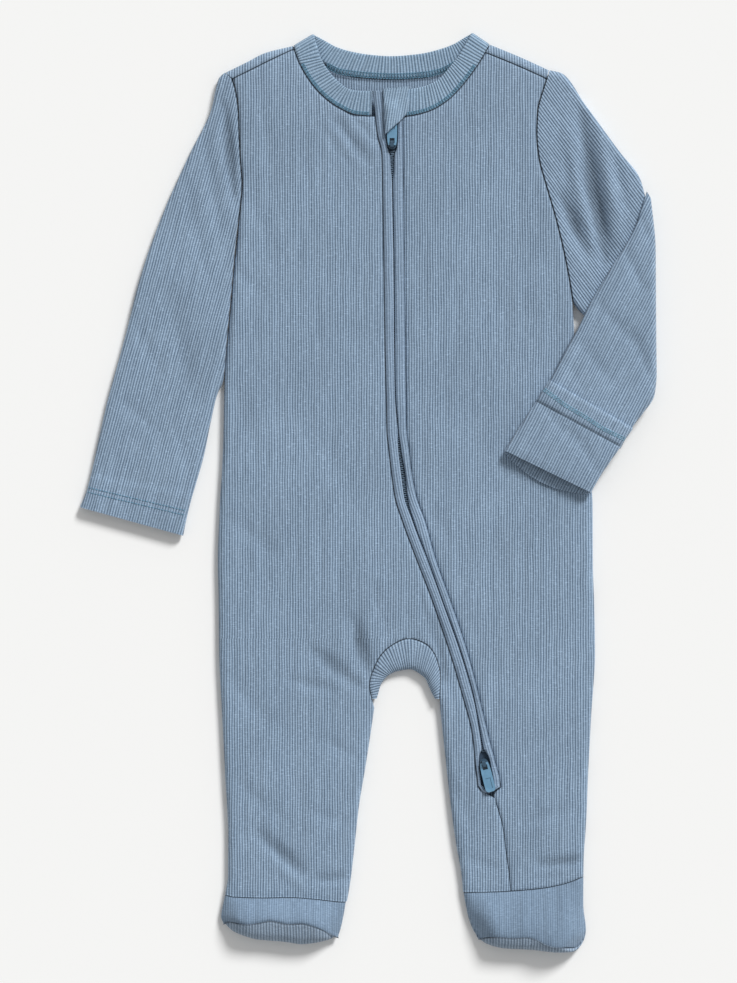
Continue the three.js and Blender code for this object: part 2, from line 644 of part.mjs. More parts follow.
// Bends the lowest rows of a leg to its ankle seam.
function toAnkle(point) {
  if (point.y > ANKLE_BEND_FROM) return point;
  const share = (point.y - ANKLE_BEND_FROM) / (ANKLE_LEVEL - ANKLE_BEND_FROM);
  return { ...point, y: ANKLE_BEND_FROM + share * (ankleAt(point.x) - ANKLE_BEND_FROM) };
}

const LEFT_LEG_ROWS = [-155, -177, -200, -218, -232, -246, ANKLE_LEVEL];
const RIGHT_LEG_ROWS = [-152, -162, -170, -178, -187, -191, -194.8, -195.8, -196.4, -203, -219, -236, -250, ANKLE_LEVEL];
const BACK_LEG_ROWS = [-175, -210, -238, ANKLE_LEVEL];
const ARCH_SHARES = [0.2, 0.4, 0.6, 0.8, 1];
const TORSO_ROWS = [-95, -80, -62, -44, -28, -14, 0, 14, 30, 50, 80, 115, 150];
const BACK_ROWS = [-95, -62, -20, 20, 60, 105, 150];
const NECK_Y = 243.4;
const TOP_STEPS = spread(7).slice(1);
const SEAM_STEPS = [0, 2.5];

// Side height of the row that reaches a given share of the gusset's half arch.
const crotchLevel = (share) => mix(APEX.y, CROTCH_Y, share * 0.88);
const STRIP_EXTRA_LEVELS = [260, 251, 226.5, 222.5, 219, 209, -166, -174, -187];
const CROTCH_LEVELS = [...ARCH_SHARES.map(crotchLevel), CROTCH_Y - 1];
// Heights at which the zip edges of the panels and the binding strips have their rows.
const ZIP_EDGE_LEVELS = [
  ...RIGHT_LEG_ROWS.filter((y) => y > STRIP_LEVEL_END), ...CROTCH_LEVELS, ...TORSO_ROWS,
  ...TOP_STEPS.map((v) => mix(TORSO_ROWS[TORSO_ROWS.length - 1], NECK_Y, v)),
].sort((a, b) => b - a);

// Where the gusset's arch passes its apex.
const ARCH_APEX_SHARE = (() => {
  let best = 0;
  for (const t of spread(400)) {
    if (Math.abs(gussetPath(t)[0] - APEX.x) < Math.abs(gussetPath(best)[0] - APEX.x)) best = t;
  }
  return best;
})();

// Rows of the two legs' inner edges, from the apex of the arch down to the ankles.
function innerEdgeRows(side, legRows) {
  const arch = ARCH_SHARES.map((share) => {
    const [x, y] = gussetPath(mix(ARCH_APEX_SHARE, side === 'left' ? 0 : 1, share));
    return { x, y, level: crotchLevel(share), roll: SEAM_ROLL };
  });
  const inseam = side === 'left' ? leftInseam : rightInseam;
  const legs = [CROTCH_Y - 1, ...legRows].map((y) => ({ x: inseam(y), y, level: y, roll: inseamRoll(y) }));
  return [...arch, ...legs];
}

// Fills the top of a panel between its straight base row, its two side edges and its top edge.
function fillTop(base, top, startEdge, endEdge, startRoll, endRoll) {
  const last = base.length - 1;
  return TOP_STEPS.map((v) => {
    const startY = mix(base[0].y, top[0].y, v);
    const endY = mix(base[last].y, top[last].y, v);
    const start = { x: v === 1 ? top[0].x : startEdge(startY), y: startY };
    const end = { x: v === 1 ? top[last].x : endEdge(endY), y: endY };
    const points = base.map((low, j) => {
      const u = (low.x - base[0].x) / (base[last].x - base[0].x);
      const high = top[j];
      const blend = (axis) => mix(low[axis], high[axis], v) + mix(start[axis], end[axis], u)
        - mix(mix(base[0][axis], base[last][axis], u), mix(top[0][axis], top[last][axis], u), v);
      return { x: blend('x'), y: blend('y') };
    });
    return withRolls(points, startRoll(startY), endRoll(endY));
  });
}

// Points of a path at given shares.
const pointsOn = (path, shares) => shares.map((t) => {
  const [x, y] = path(t);
  return { x, y };
});

const reversed = (table) => [...table].reverse();
const withGap = (rows, fromKeys, toKeys) => rows.map((row) => {
  const length = Math.hypot(row[fromKeys[0]] - row[toKeys[0]], row[fromKeys[1]] - row[toKeys[1]]);
  return {
    ...row,
    gapX: row[fromKeys[0]] + (SEAM_GAP * (row[fromKeys[0]] - row[toKeys[0]])) / length,
    gapY: row[fromKeys[1]] + (SEAM_GAP * (row[fromKeys[1]] - row[toKeys[1]])) / length,
  };
});

function makeFrontMain() {
  const cloth = new Cloth();
  const add = (points) => points.map((point) => addFront(cloth, shoulderRoll(point)));
  const legInner = 4;
  const stripInner = 1;
  const rowsAbove = TORSO_ROWS.map((y) => {
    const open = ease((y - APEX.y) / 60);
    const splitX = y === TORSO_ROWS[0] ? APEX.x : mix(APEX.x, mainInnerX(y) - 12, open);
    const split = { x: splitX, y: y === TORSO_ROWS[0] ? APEX.y : y };
    const loose = ROLL_STEPS.map((s) => s * mix(1, 2.4, open));
    const left = rowPoints({ x: leftEdge(y), y }, split, ROLL_STEPS, loose, legInner);
    const right = rowPoints(split, { x: mainInnerX(y), y }, ROLL_STEPS.map((s) => s * mix(1, 0.9, open)), SEAM_STEPS, stripInner);
    return withRolls([...left, ...right.slice(1)], leftRoll(y), SEAM_ROLL);
  });
  const baseRow = rowsAbove[rowsAbove.length - 1];
  const corner = Math.round(baseRow.length * 0.4);
  const shoulder = pathThrough(withGap(reversed(SHOULDERS.left), ['seamX', 'seamY'], ['topX', 'topY']), ['gapX', 'gapY']);
  const neck = [
    { x: -48, y: 286.6 },
    ...reversed(BAND_FRONT_LEFT).slice(0, -1).map((row) => ({ x: row.seamX, y: row.seamY })),
    { x: leftStripEdge(NECK_Y) - SEAM_GAP, y: NECK_Y },
  ];
  const columns = baseRow.length;
  const top = [...pointsOn(shoulder, spread(corner).slice(0, -1)), ...subdivided(neck, columns - corner - 1)];
  const upper = fillTop(baseRow, top, leftEdge, (y) => mainInnerX(y), leftRoll, () => SEAM_ROLL);
  const body = [...rowsAbove, ...upper].map(add);
  cloth.weave(body);

  const legColumns = legInner + 2 * ROLL_STEPS.length;
  const leftRows = innerEdgeRows('left', LEFT_LEG_ROWS).map((inner) => {
    const points = rowPoints({ x: leftEdge(inner.level), y: inner.level }, inner, ROLL_STEPS, ROLL_STEPS, legInner);
    return add(withRolls(points.map(toAnkle), 1, inner.roll));
  });
  cloth.weave([...leftRows.reverse(), body[0].slice(0, legColumns)]);
  const stripRows = innerEdgeRows('right', RIGHT_LEG_ROWS).map((inner) => {
    const points = rowPoints(inner, { x: mainInnerX(inner.level), y: inner.level }, ROLL_STEPS, SEAM_STEPS, stripInner);
    return add(withRolls(points.map(toAnkle), inner.roll, SEAM_ROLL));
  });
  cloth.weave([...stripRows.reverse(), body[0].slice(legColumns - 1)]);
  return cloth.geometry();
}

function makeFrontSide() {
  const cloth = new Cloth();
  const add = (points) => points.map((point) => addFront(cloth, shoulderRoll(point)));
  const levels = [...reversed(RIGHT_LEG_ROWS), ...reversed(CROTCH_LEVELS), ...TORSO_ROWS];
  const rows = levels.map((y) => {
    const points = rowPoints({ x: sideInnerX(y), y }, { x: rightEdge(y), y }, SEAM_STEPS, ROLL_STEPS, 4);
    return withRolls(points.map(toAnkle), SEAM_ROLL, rightRoll(y));
  });
  const baseRow = rows[rows.length - 1];
  const neck = [
    { x: rightStripEdge(NECK_Y) + SEAM_GAP, y: NECK_Y },
    ...reversed(BAND_FRONT_RIGHT).slice(1).map((row) => ({ x: row.seamX, y: row.seamY })),
    { x: 76.1, y: 284.3 },
  ];
  const columns = baseRow.length;
  const corner = neck.length - 1;
  const shoulder = pathThrough(withGap(SHOULDERS.right, ['seamX', 'seamY'], ['topX', 'topY']), ['gapX', 'gapY']);
  const top = [...neck.slice(0, -1), ...pointsOn(shoulder, spread(columns - corner - 1))];
  const upper = fillTop(baseRow, top, (y) => sideInnerX(y), rightEdge, () => SEAM_ROLL, rightRoll);
  cloth.weave([...rows, ...upper].map(add));
  return cloth.geometry();
}

// The turn over a shoulder: from the flat back, round the folded top edge, to the seam on the front.
function shoulderTurn(cloth, shoulderPath, share, flatIndex) {
  const [topX, topY, seamX, seamY, flatX, flatY] = shoulderPath(share);
  const flat = { x: flatX - topX, y: flatY - topY };
  const seam = { x: seamX - topX, y: seamY - topY };
  const flatLength = Math.hypot(flat.x, flat.y);
  const seamLength = Math.hypot(seam.x, seam.y);
  const place = (direction, length, reach, up) => {
    const { turn, lift } = rolled(reach, EDGE_RADIUS);
    const unitX = direction.x / length;
    const unitY = direction.y / length;
    const push = reach + WALL * turn;
    return cloth.add(
      [topX + unitX * reach, topY + unitY * reach, SIDE_SEAM_Z + up * SIDE_SEAM_Z * lift],
      [topX + unitX * push, topY + unitY * push, SIDE_SEAM_Z + up * (SIDE_SEAM_Z - WALL) * lift],
    );
  };
  const backSteps = [0.5, 0.13].map((part) => place(flat, flatLength, flatLength * part, -1));
  const middle = { x: flat.x / flatLength + seam.x / seamLength, y: flat.y / flatLength + seam.y / seamLength };
  const edge = place(middle, Math.hypot(middle.x, middle.y), 0, 1);
  const frontSteps = [0.13, 0.5, 1].map((part) => place(seam, seamLength, seamLength * part, 1));
  return [flatIndex, ...backSteps, edge, ...frontSteps];
}

function makeBack() {
  const cloth = new Cloth();
  const add = (points) => points.map((point) => addBack(cloth, point));
  const leftInner = 3;
  const rightInner = 3;
  const rows = BACK_ROWS.map((y) => {
    const open = ease((y - APEX.y) / 60);
    const split = { x: mix(APEX.x, 15, open), y: y === BACK_ROWS[0] ? APEX.y : y };
    const loose = ROLL_STEPS.map((s) => s * mix(1, 3, open));
    const left = rowPoints({ x: leftEdge(y), y }, split, ROLL_STEPS, loose, leftInner);
    const right = rowPoints(split, { x: rightEdge(y), y }, loose, ROLL_STEPS, rightInner);
    return withRolls([...left, ...right.slice(1)], leftRoll(y), rightRoll(y));
  });
  const baseRow = rows[rows.length - 1];
  const neck = [
    { x: -44.5, y: 286.9 }, ...BAND_BACK.map((row) => ({ x: row.seamX, y: row.seamY })), { x: 75, y: 287.8 },
  ];
  const neckCount = neck.length - 1;
  const leftCount = Math.ceil((baseRow.length - 1 - neckCount) / 2);
  const rightCount = baseRow.length - 1 - neckCount - leftCount;
  const names = ['topX', 'topY', 'seamX', 'seamY', 'flatX', 'flatY'];
  const leftShoulder = pathThrough(reversed(SHOULDERS.left), names);
  const rightShoulder = pathThrough(SHOULDERS.right, names);
  const flatOf = (path) => (t) => path(t).slice(4);
  const top = [
    ...pointsOn(flatOf(leftShoulder), spread(leftCount).slice(0, -1)),
    ...neck,
    ...pointsOn(flatOf(rightShoulder), spread(rightCount).slice(1)),
  ];
  const upper = fillTop(baseRow, top, leftEdge, rightEdge, leftRoll, rightRoll);
  const flatUpper = upper.map((row, i) => (i < upper.length - 1 ? row : row.map((point) => ({ ...point, roll: 0 }))));
  const body = [...rows, ...flatUpper].map(add);
  cloth.weave(body);

  const topRow = body[body.length - 1];
  const leftTurn = spread(leftCount).map((t, j) => shoulderTurn(cloth, leftShoulder, t, topRow[j]));
  const rightTurn = spread(rightCount).map((t, j) => shoulderTurn(cloth, rightShoulder, t, topRow[leftCount + neckCount + j]));
  for (const turn of [leftTurn, rightTurn]) {
    cloth.weave(turn[0].map((_, i) => turn.map((strip) => strip[i])));
  }

  const legColumns = leftInner + 2 * ROLL_STEPS.length;
  const leftRows = innerEdgeRows('left', BACK_LEG_ROWS).map((inner) => {
    const points = rowPoints({ x: leftEdge(inner.level), y: inner.level }, inner, ROLL_STEPS, ROLL_STEPS, leftInner);
    return add(withRolls(points.map(toAnkle), 1, inner.roll));
  });
  cloth.weave([...leftRows.reverse(), body[0].slice(0, legColumns)]);
  const rightRows = innerEdgeRows('right', BACK_LEG_ROWS).map((inner) => {
    const points = rowPoints(inner, { x: rightEdge(inner.level), y: inner.level }, ROLL_STEPS, ROLL_STEPS, rightInner);
    return add(withRolls(points.map(toAnkle), inner.roll, 1));
  });
  cloth.weave([...rightRows.reverse(), body[0].slice(legColumns - 1)]);
  return cloth.geometry();
}

// The gusset lies double: its front half, the folded edge in the crotch, and its back half.
function makeGusset() {
  const cloth = new Cloth();
  const leftShares = reversed(ARCH_SHARES.map((share) => mix(ARCH_APEX_SHARE, 0, share)));
  const rightShares = ARCH_SHARES.map((share) => mix(ARCH_APEX_SHARE, 1, share));
  const sections = [...leftShares, ARCH_APEX_SHARE, ...rightShares].map((t) => {
    const [seamX, seamY, foldX, foldY] = gussetPath(t);
    const width = Math.hypot(seamX - foldX, seamY - foldY) - SEAM_GAP;
    const dirX = (seamX - foldX) / (width + SEAM_GAP);
    const dirY = (seamY - foldY) / (width + SEAM_GAP);
    const radius = Math.min(EDGE_RADIUS, width);
    const wall = Math.min(WALL, width * 0.45);
    const point = (share, up) => {
      const reach = share * width;
      const { turn, lift } = rolled(reach, radius);
      const push = reach + wall * turn;
      const x = foldX + dirX * reach;
      const y = foldY + dirY * reach;
      const half = up > 0 ? frontTop(x, y) - SIDE_SEAM_Z : SIDE_SEAM_Z;
      return cloth.add(
        [x, y, SIDE_SEAM_Z + up * half * lift],
        [foldX + dirX * push, foldY + dirY * push, SIDE_SEAM_Z + up * (half - wall) * lift],
      );
    };
    const flanks = [1, 0.45, 0.1];
    return [...flanks.map((share) => point(share, 1)), point(0, 1), ...reversed(flanks).map((share) => point(share, -1))];
  });
  cloth.weave(sections);
  return cloth.geometry();
}

// Neckband: flat on the front, turned over at each shoulder, flat across the back.
function makeNeckband() {
  const cloth = new Cloth();
  const mid = BAND_TOP / 2;
  const addStation = (seam, edge) => {
    const gap = BAND_SEAM_GAP / Math.hypot(edge.outer[0] - seam.outer[0], edge.outer[1] - seam.outer[1]);
    return [0, 0.12, 0.5, 0.9, 1].map((share, i) => {
      const along = mix(gap, 1, share);
      const thin = i === 0 ? 0.7 : i === 4 ? 0.35 : 1;
      const outer = seam.outer.map((value, k) => mix(value, edge.outer[k], along));
      const inner = seam.inner.map((value, k) => mix(value, edge.inner[k], along));
      const centre = outer.map((value, k) => (value + inner[k]) / 2);
      return cloth.add(
        centre.map((value, k) => mix(value, outer[k], thin)),
        centre.map((value, k) => mix(value, inner[k], thin)),
      );
    });
  };
  const flatStation = (row, up) => {
    const z = mid + up * mid;
    const innerZ = mid + up * (mid - BAND_WALL);
    return addStation(
      { outer: [row.seamX, row.seamY, z], inner: [row.seamX, row.seamY, innerZ] },
      { outer: [row.edgeX, row.edgeY, z], inner: [row.edgeX, row.edgeY, innerZ] },
    );
  };
  const turnPoint = (x, y, towardX, towardY, angle) => {
    const length = Math.hypot(towardX - x, towardY - y);
    const unitX = (towardX - x) / length;
    const unitY = (towardY - y) / length;
    const reach = EDGE_RADIUS * (1 - Math.cos(angle));
    const push = reach + BAND_WALL * Math.cos(angle);
    return {
      outer: [x + unitX * reach, y + unitY * reach, mid + mid * Math.sin(angle)],
      inner: [x + unitX * push, y + unitY * push, mid + (mid - BAND_WALL) * Math.sin(angle)],
    };
  };
  const turnStation = (peak, front, back, degrees) => {
    const angle = THREE.MathUtils.degToRad(degrees);
    const share = (1 - Math.sin(angle)) / 2;
    const toward = (key) => mix(front[key], back[key], share);
    return addStation(
      turnPoint(peak.seamX, peak.seamY, toward('seamX'), toward('seamY'), angle),
      turnPoint(peak.edgeX, peak.edgeY, toward('edgeX'), toward('edgeY'), angle),
    );
  };
  const turn = (peak, front, back) => [80, 50, 20, -10, -45, -80].map((angle) => turnStation(peak, front, back, angle));
  const stations = [
    ...BAND_FRONT_LEFT.map((row) => flatStation(row, 1)),
    ...turn(BAND_PEAKS.left, BAND_FRONT_LEFT[5], BAND_BACK[0]),
    ...BAND_BACK.map((row) => flatStation(row, -1)),
    ...turn(BAND_PEAKS.right, BAND_FRONT_RIGHT[0], BAND_BACK[6]).reverse(),
    ...BAND_FRONT_RIGHT.map((row) => flatStation(row, 1)),
  ];
  cloth.weave(stations);
  return cloth.geometry();
}

// A binding strip beside the zip: a low rounded ridge from its outer seam to the zip's opening.
function makeZipStrip(side) {
  const cloth = new Cloth();
  const outward = side === 'left' ? -1 : 1;
  const outerEdge = side === 'left' ? leftStripEdge : rightStripEdge;
  const ends = side === 'left' ? LEFT_STRIP_END : RIGHT_STRIP_END;
  const levels = [...ZIP_EDGE_LEVELS, ...STRIP_EXTRA_LEVELS].sort((a, b) => b - a);
  const rows = levels.map((y) => ({
    outerX: outerEdge(y), outerY: y, innerX: zipX(y) + outward * zipHalfGap(y), innerY: y,
  })).concat(ends);
  cloth.weave(rows.map((row) => [[0, -0.35], [0.2, 0.8], [0.75, 0.95], [1, 0]].map(([share, rise]) => {
    const x = mix(row.outerX, row.innerX, share);
    const y = mix(row.outerY, row.innerY, share);
    const z = frontTop(x, y) + STRIP_RISE * rise;
    return cloth.add([x, y, z], [x, y, z - WALL]);
  })));
  return cloth.geometry();
}

// Zip tape under the strips, with the closed coil as a low ridge down its middle.
function makeZipTape() {
  const cloth = new Cloth();
  const levels = [256, 210, 150, 90, 50, 34, 20, 6, -6, -16, -28, -44, -62, -84, -106, -126, -146, -164, -178, -190.5];
  cloth.weave(levels.map((y) => {
    const x = zipX(y);
    const slope = (zipX(y + 1) - zipX(y - 1)) / 2;
    const length = Math.hypot(slope, 1);
    return [-TAPE_HALF, -COIL_HALF - 0.3, -COIL_HALF, COIL_HALF, COIL_HALF + 0.3, TAPE_HALF].map((offset) => {
      const raised = Math.abs(offset) <= COIL_HALF ? COIL_RISE : 0;
      const px = x + offset / length;
      const py = y - (offset * slope) / length;
      const top = frontTop(px, py) - TAPE_DROP;
      return cloth.add([px, py, top + raised], [px, py, top - TAPE_THICK]);
    });
  }));
  return cloth.geometry();
}

function makeChinGuard() {
  const cloth = new Cloth();
  cloth.weave(CHIN_GUARD.map((row) => {
    const lifted = TOP_PULL.x - GUARD_LIFT_REACH;
    const columns = [row.leftX, lifted, ...GUARD_COLUMNS.map((x, i) => Math.min(x, mix(lifted, row.rightX, (i + 1) / 5)))];
    return columns.map((x, i) => {
      const y = mix(row.leftY, row.rightY, (x - row.leftX) / (row.rightX - row.leftX));
      const overPull = ease((GUARD_LIFT_REACH + 1.9 - Math.abs(x - TOP_PULL.x)) / 1.8) * ease((256 - y) / 8);
      const z = GUARD_REST_Z + GUARD_OVER_PULL * overPull;
      const rim = i === 0 || i === columns.length - 1 ? 0.6 : 0;
      return cloth.add([x, y, z + GUARD_WALL - rim], [x, y, z]);
    });
  }));
  return cloth.geometry();
}

// One ring of a flattened tube: its top and bottom halves meet at a rounded edge on each side.
function tubeRing(section, count, foldTable) {
  const { start, end, low, top, midStart, midEnd, wall, bowPoint, lowShift } = section;
  const width = Math.hypot(end.x - start.x, end.y - start.y);
  const radius = Math.min(EDGE_RADIUS, width * 0.3);
  const shares = rowSteps(width, ROLL_STEPS.map((s) => (s * radius) / EDGE_RADIUS), ROLL_STEPS.map((s) => (s * radius) / EDGE_RADIUS), count)
    .map((s) => s / width);
  const unitX = (end.x - start.x) / width;
  const unitY = (end.y - start.y) / width;
  const outer = [];
  const inner = [];
  const place = (share, upper) => {
    const nearStart = share < 0.5;
    const reach = (nearStart ? share : 1 - share) * width;
    const sign = nearStart ? 1 : -1;
    const { turn, lift } = rolled(reach, radius);
    const bowed = bowPoint ? bowPoint(share) : { x: mix(start.x, end.x, share), y: mix(start.y, end.y, share) };
    const shift = upper ? { x: 0, y: 0 } : lowShift;
    const x = bowed.x + shift.x;
    const y = bowed.y + shift.y;
    const mid = mix(midStart, midEnd, share);
    const level = upper ? top + foldRise(foldTable, x, y) : low(reach, nearStart);
    const outerZ = mid + (level - mid) * lift;
    const innerZ = mid + (level - (upper ? wall : -wall) - mid) * lift;
    const push = sign * wall * turn;
    outer.push([x, y, outerZ]);
    inner.push([x + unitX * push, y + unitY * push, innerZ]);
  };
  shares.forEach((share) => place(share, true));
  reversed(shares).slice(1, -1).forEach((share) => place(share, false));
  return { outer, inner };
}

// A tube of cloth from its rings, open at the start and either open or closed at the end.
function tubeGeometry(rings, closedEnd) {
  const count = rings[0].outer.length;
  if (!closedEnd) {
    const cloth = new Cloth();
    cloth.weave(rings.map((ring) => ring.outer.map((point, i) => cloth.add(point, ring.inner[i]))), true);
    return cloth.geometry();
  }
  const innerRings = rings.slice(0, -2);
  const points = [...rings.flatMap((ring) => ring.outer), ...innerRings.flatMap((ring) => ring.inner)];
  const innerStart = rings.length * count;
  const faces = [];
  const quad = (a, b, c, d) => faces.push([a, b, c], [a, c, d]);
  for (let i = 0; i + 1 < rings.length; i++) {
    for (let j = 0; j < count; j++) {
      const k = (j + 1) % count;
      quad(i * count + j, i * count + k, (i + 1) * count + k, (i + 1) * count + j);
      if (i + 1 < innerRings.length) {
        const base = innerStart + i * count;
        quad(base + count + j, base + count + k, base + k, base + j);
      }
    }
  }
  for (let j = 0; j < count; j++) {
    const k = (j + 1) % count;
    quad(innerStart + j, innerStart + k, k, j);
  }
  const half = count / 2;
  const cap = (base, flip) => {
    for (let j = 0; j < half; j++) {
      const lower = (count - j) % count;
      const nextLower = (count - j - 1) % count;
      const loop = [base + j, base + j + 1, base + nextLower, base + lower];
      const [a, b, c, d] = flip ? loop.reverse() : loop;
      if (a !== b && b !== c && a !== c) faces.push([a, b, c]);
      if (a !== c && c !== d && a !== d) faces.push([a, c, d]);
    }
  };
  cap((rings.length - 1) * count, false);
  cap(innerStart + (innerRings.length - 1) * count, true);
  return facetedGeometry(points, faces);
}

const NO_SHIFT = { x: 0, y: 0 };

// Armhole seam from the shoulder's folded edge to the underarm, as seen from the sleeve.
function armholePath(side) {
  const shoulder = SHOULDERS[side][SHOULDERS[side].length - 1];
  const edge = side === 'left' ? leftEdge : rightEdge;
  const gap = side === 'left' ? -ARMHOLE_GAP : ARMHOLE_GAP;
  const levels = [...TORSO_ROWS, ...TOP_STEPS.map((v) => mix(TORSO_ROWS[TORSO_ROWS.length - 1], shoulder.seamY, v))];
  const atSeams = levels.map((y) => ({ x: edge(y) + gap, y })).reverse();
  const below = atSeams.findIndex((point) => point.y < UNDERARM_END[side]);
  const [high, low] = [atSeams[below - 1], atSeams[below]];
  const share = (high.y - UNDERARM_END[side]) / (high.y - low.y);
  const end = { x: mix(high.x, low.x, share), y: UNDERARM_END[side] };
  return polyline([{ x: shoulder.topX + gap, y: shoulder.topY }, ...atSeams.slice(0, below), end]);
}

function sleeveSection(path, bow, t, bowFade) {
  const [startX, startY, endX, endY] = path(t);
  const [aX, aY] = path(0);
  const [, , bX, bY] = path(0);
  const keep = 1 - ease(t / bowFade);
  const bowPoint = (share) => {
    const [x, y] = bow(share);
    return {
      x: mix(startX, endX, share) + (x - mix(aX, bX, share)) * keep,
      y: mix(startY, endY, share) + (y - mix(aY, bY, share)) * keep,
    };
  };
  return { start: { x: startX, y: startY }, end: { x: endX, y: endY }, bowPoint };
}

function makeLeftSleeve() {
  const path = pathThrough(LEFT_SLEEVE, ['outerX', 'outerY', 'innerX', 'innerY']);
  const armhole = armholePath('left');
  const stations = [0, 0.04, 0.1, 0.18, 0.28, 0.39, 0.5, 0.61, 0.72, 0.83, 0.92, HEM_FROM, 1];
  const rings = stations.map((t) => {
    const hem = t >= HEM_FROM ? HEM_RISE : 0;
    const top = mix(BODY_TOP, SLEEVE_TOP, ease(t / 0.2)) + hem;
    return tubeRing({
      ...sleeveSection(path, armhole, t, 0.3),
      low: () => 0, top, midStart: SIDE_SEAM_Z, midEnd: SIDE_SEAM_Z, wall: WALL + hem * 0.6, lowShift: NO_SHIFT,
    }, 3, SLEEVE_FOLDS);
  });
  return tubeGeometry(rings, false);
}

function makeRightSleeve() {
  const upperPath = pathThrough(RIGHT_UPPER_ARM, ['outerX', 'outerY', 'innerX', 'innerY']);
  const armhole = armholePath('right');
  const upperRings = [0, 0.05, 0.13, 0.25, 0.4, 0.55, 0.7, 0.85, 0.94, 1].map((t) => tubeRing({
    ...sleeveSection(upperPath, armhole, t, 0.4),
    low: () => 0, top: mix(BODY_TOP, SLEEVE_TOP, ease(t / 0.2)), midStart: SIDE_SEAM_Z, midEnd: SIDE_SEAM_Z,
    wall: WALL, lowShift: NO_SHIFT,
  }, 4, SLEEVE_FOLDS));

  const columns = ['leftX', 'leftY', 'rightX', 'rightY', 'low', 'top'];
  const forearmPath = pathThrough(RIGHT_FOREARM, columns);
  const section = ([leftX, leftY, rightX, rightY, low, top], wall, setBack) => {
    const fused = ease((3 - low) / 2);
    const under = mix(low > 7 ? low : 7.5, LAYERS_MEET_Z, fused);
    return tubeRing({
      start: { x: leftX, y: leftY },
      end: { x: rightX, y: rightY },
      low: (reach, nearLeft) => (nearLeft ? under : mix(low, under, ease((reach - 6) / 14))),
      top,
      midStart: (Math.max(under, LAYERS_MEET_Z + 0.6) + top) / 2,
      midEnd: (low + top) / 2,
      wall,
      lowShift: setBack,
    }, 3, []);
  };
  const forearmRings = [0, 0.06, 0.16, 0.28, 0.41, 0.54, 0.67, 0.8, 0.9, 1].map((t) => section(forearmPath(t), WALL, NO_SHIFT));
  const cuffRings = RIGHT_CUFF.map((row, i) => {
    const share = Math.max(0, (i - 2) / (RIGHT_CUFF.length - 3));
    const setBack = { x: 0.45 * MOUTH_SETBACK * share * -1, y: -0.89 * MOUTH_SETBACK * share };
    return section(columns.map((name) => row[name]), i === RIGHT_CUFF.length - 1 ? 2.4 : 3, setBack);
  });
  const fromMouth = [...forearmRings, ...cuffRings].reverse();
  const upper = toSolid(tubeGeometry(upperRings, true));
  const forearm = toSolid(tubeGeometry(fromMouth, true));
  return fromSolid(upper.add(forearm));
}

const CORNER_COLUMNS = 3;
const FOOT_SHARES = [0, 0.015, 0.05, 0.11, 0.2, 0.34, 0.5, 0.66, 0.8, 0.89, 0.95, 0.985, 1];

// Foot functions: sides, seams and heights across and along a foot.
function footShape(foot) {
  const leftSide = column(foot.sides, 'along', 'left');
  const rightSide = column(foot.sides, 'along', 'right');
  const toe = column(foot.across, 'share', 'toe');
  const front = column(foot.across, 'share', 'front');
  const width = foot.sides[0].right - foot.sides[0].left;
  const fullness = (share, roll) => roundness((Math.min(share, 1 - share) * width) / roll);
  const ankle = (share) => ankleAt(mix(leftSide(0), rightSide(0), share)) - FOOT_SEAM_GAP;
  const toeZ = (share) => {
    const reach = Math.min(1, (Math.min(share, 1 - share) * width) / TOE_ROUNDING);
    return TOE_CORNER_Z + (FOOT_TOP - TOE_CORNER_Z) * Math.sin((reach * Math.PI) / 2);
  };
  const toeSeam = (share) => new THREE.Vector3(mix(leftSide(1), rightSide(1), share), toe(share), toeZ(share));
  const toeFrame = (share) => {
    const along = toeSeam(Math.min(1, share + 0.01)).sub(toeSeam(Math.max(0, share - 0.01))).normalize();
    const ahead = new THREE.Vector3(along.y, -along.x, 0).normalize();
    const up = along.clone().cross(new THREE.Vector3(0, 1, 0)).normalize();
    const normal = up.addScaledVector(ahead, SEAM_LEAN);
    if (share === 0 || share === 1) normal.setZ(0);
    return { ahead, normal: normal.normalize() };
  };
  return { leftSide, rightSide, ankle, toe, front, fullness, toeZ, toeFrame };
}

// Grid of cloth with its inner points pushed in along its own normals; grown by a margin on both faces.
function shellGrid(grid, fixNormal, margin) {
  const cloth = new Cloth();
  const lastRow = grid.length - 1;
  const lastColumn = grid[0].length - 1;
  const vector = (point) => new THREE.Vector3(...point);
  const directNormal = (i, j) => {
    const row = grid[i];
    const alongRow = vector(row[Math.min(j + 1, lastColumn)]).sub(vector(row[Math.max(j - 1, 0)]));
    const acrossRows = vector(grid[Math.min(i + 1, lastRow)][j]).sub(vector(grid[Math.max(i - 1, 0)][j]));
    return fixNormal(alongRow.cross(acrossRows).normalize(), i / lastRow, FOOT_SHARES[j]);
  };
  const rows = grid.map((row, i) => row.map((point, j) => {
    const fromEnd = Math.min(j, lastColumn - j);
    let normal = directNormal(i, j);
    if (fromEnd > 0 && fromEnd < CORNER_COLUMNS) {
      const sideColumn = j < CORNER_COLUMNS ? 0 : lastColumn;
      const settled = j < CORNER_COLUMNS ? CORNER_COLUMNS : lastColumn - CORNER_COLUMNS;
      normal = directNormal(i, sideColumn).lerp(directNormal(i, settled), fromEnd / CORNER_COLUMNS).normalize();
    }
    const fromSide = Math.min(FOOT_SHARES[j], 1 - FOOT_SHARES[j]);
    const wall = mix(FOOT_SIDE_WALL, WALL, Math.min(1, fromSide / FOOT_SHARES[CORNER_COLUMNS]));
    const outer = vector(point).addScaledVector(normal, margin);
    return cloth.add(outer.toArray(), outer.addScaledVector(normal, -wall - 2 * margin).toArray());
  }));
  cloth.weave(rows);
  return cloth.geometry();
}


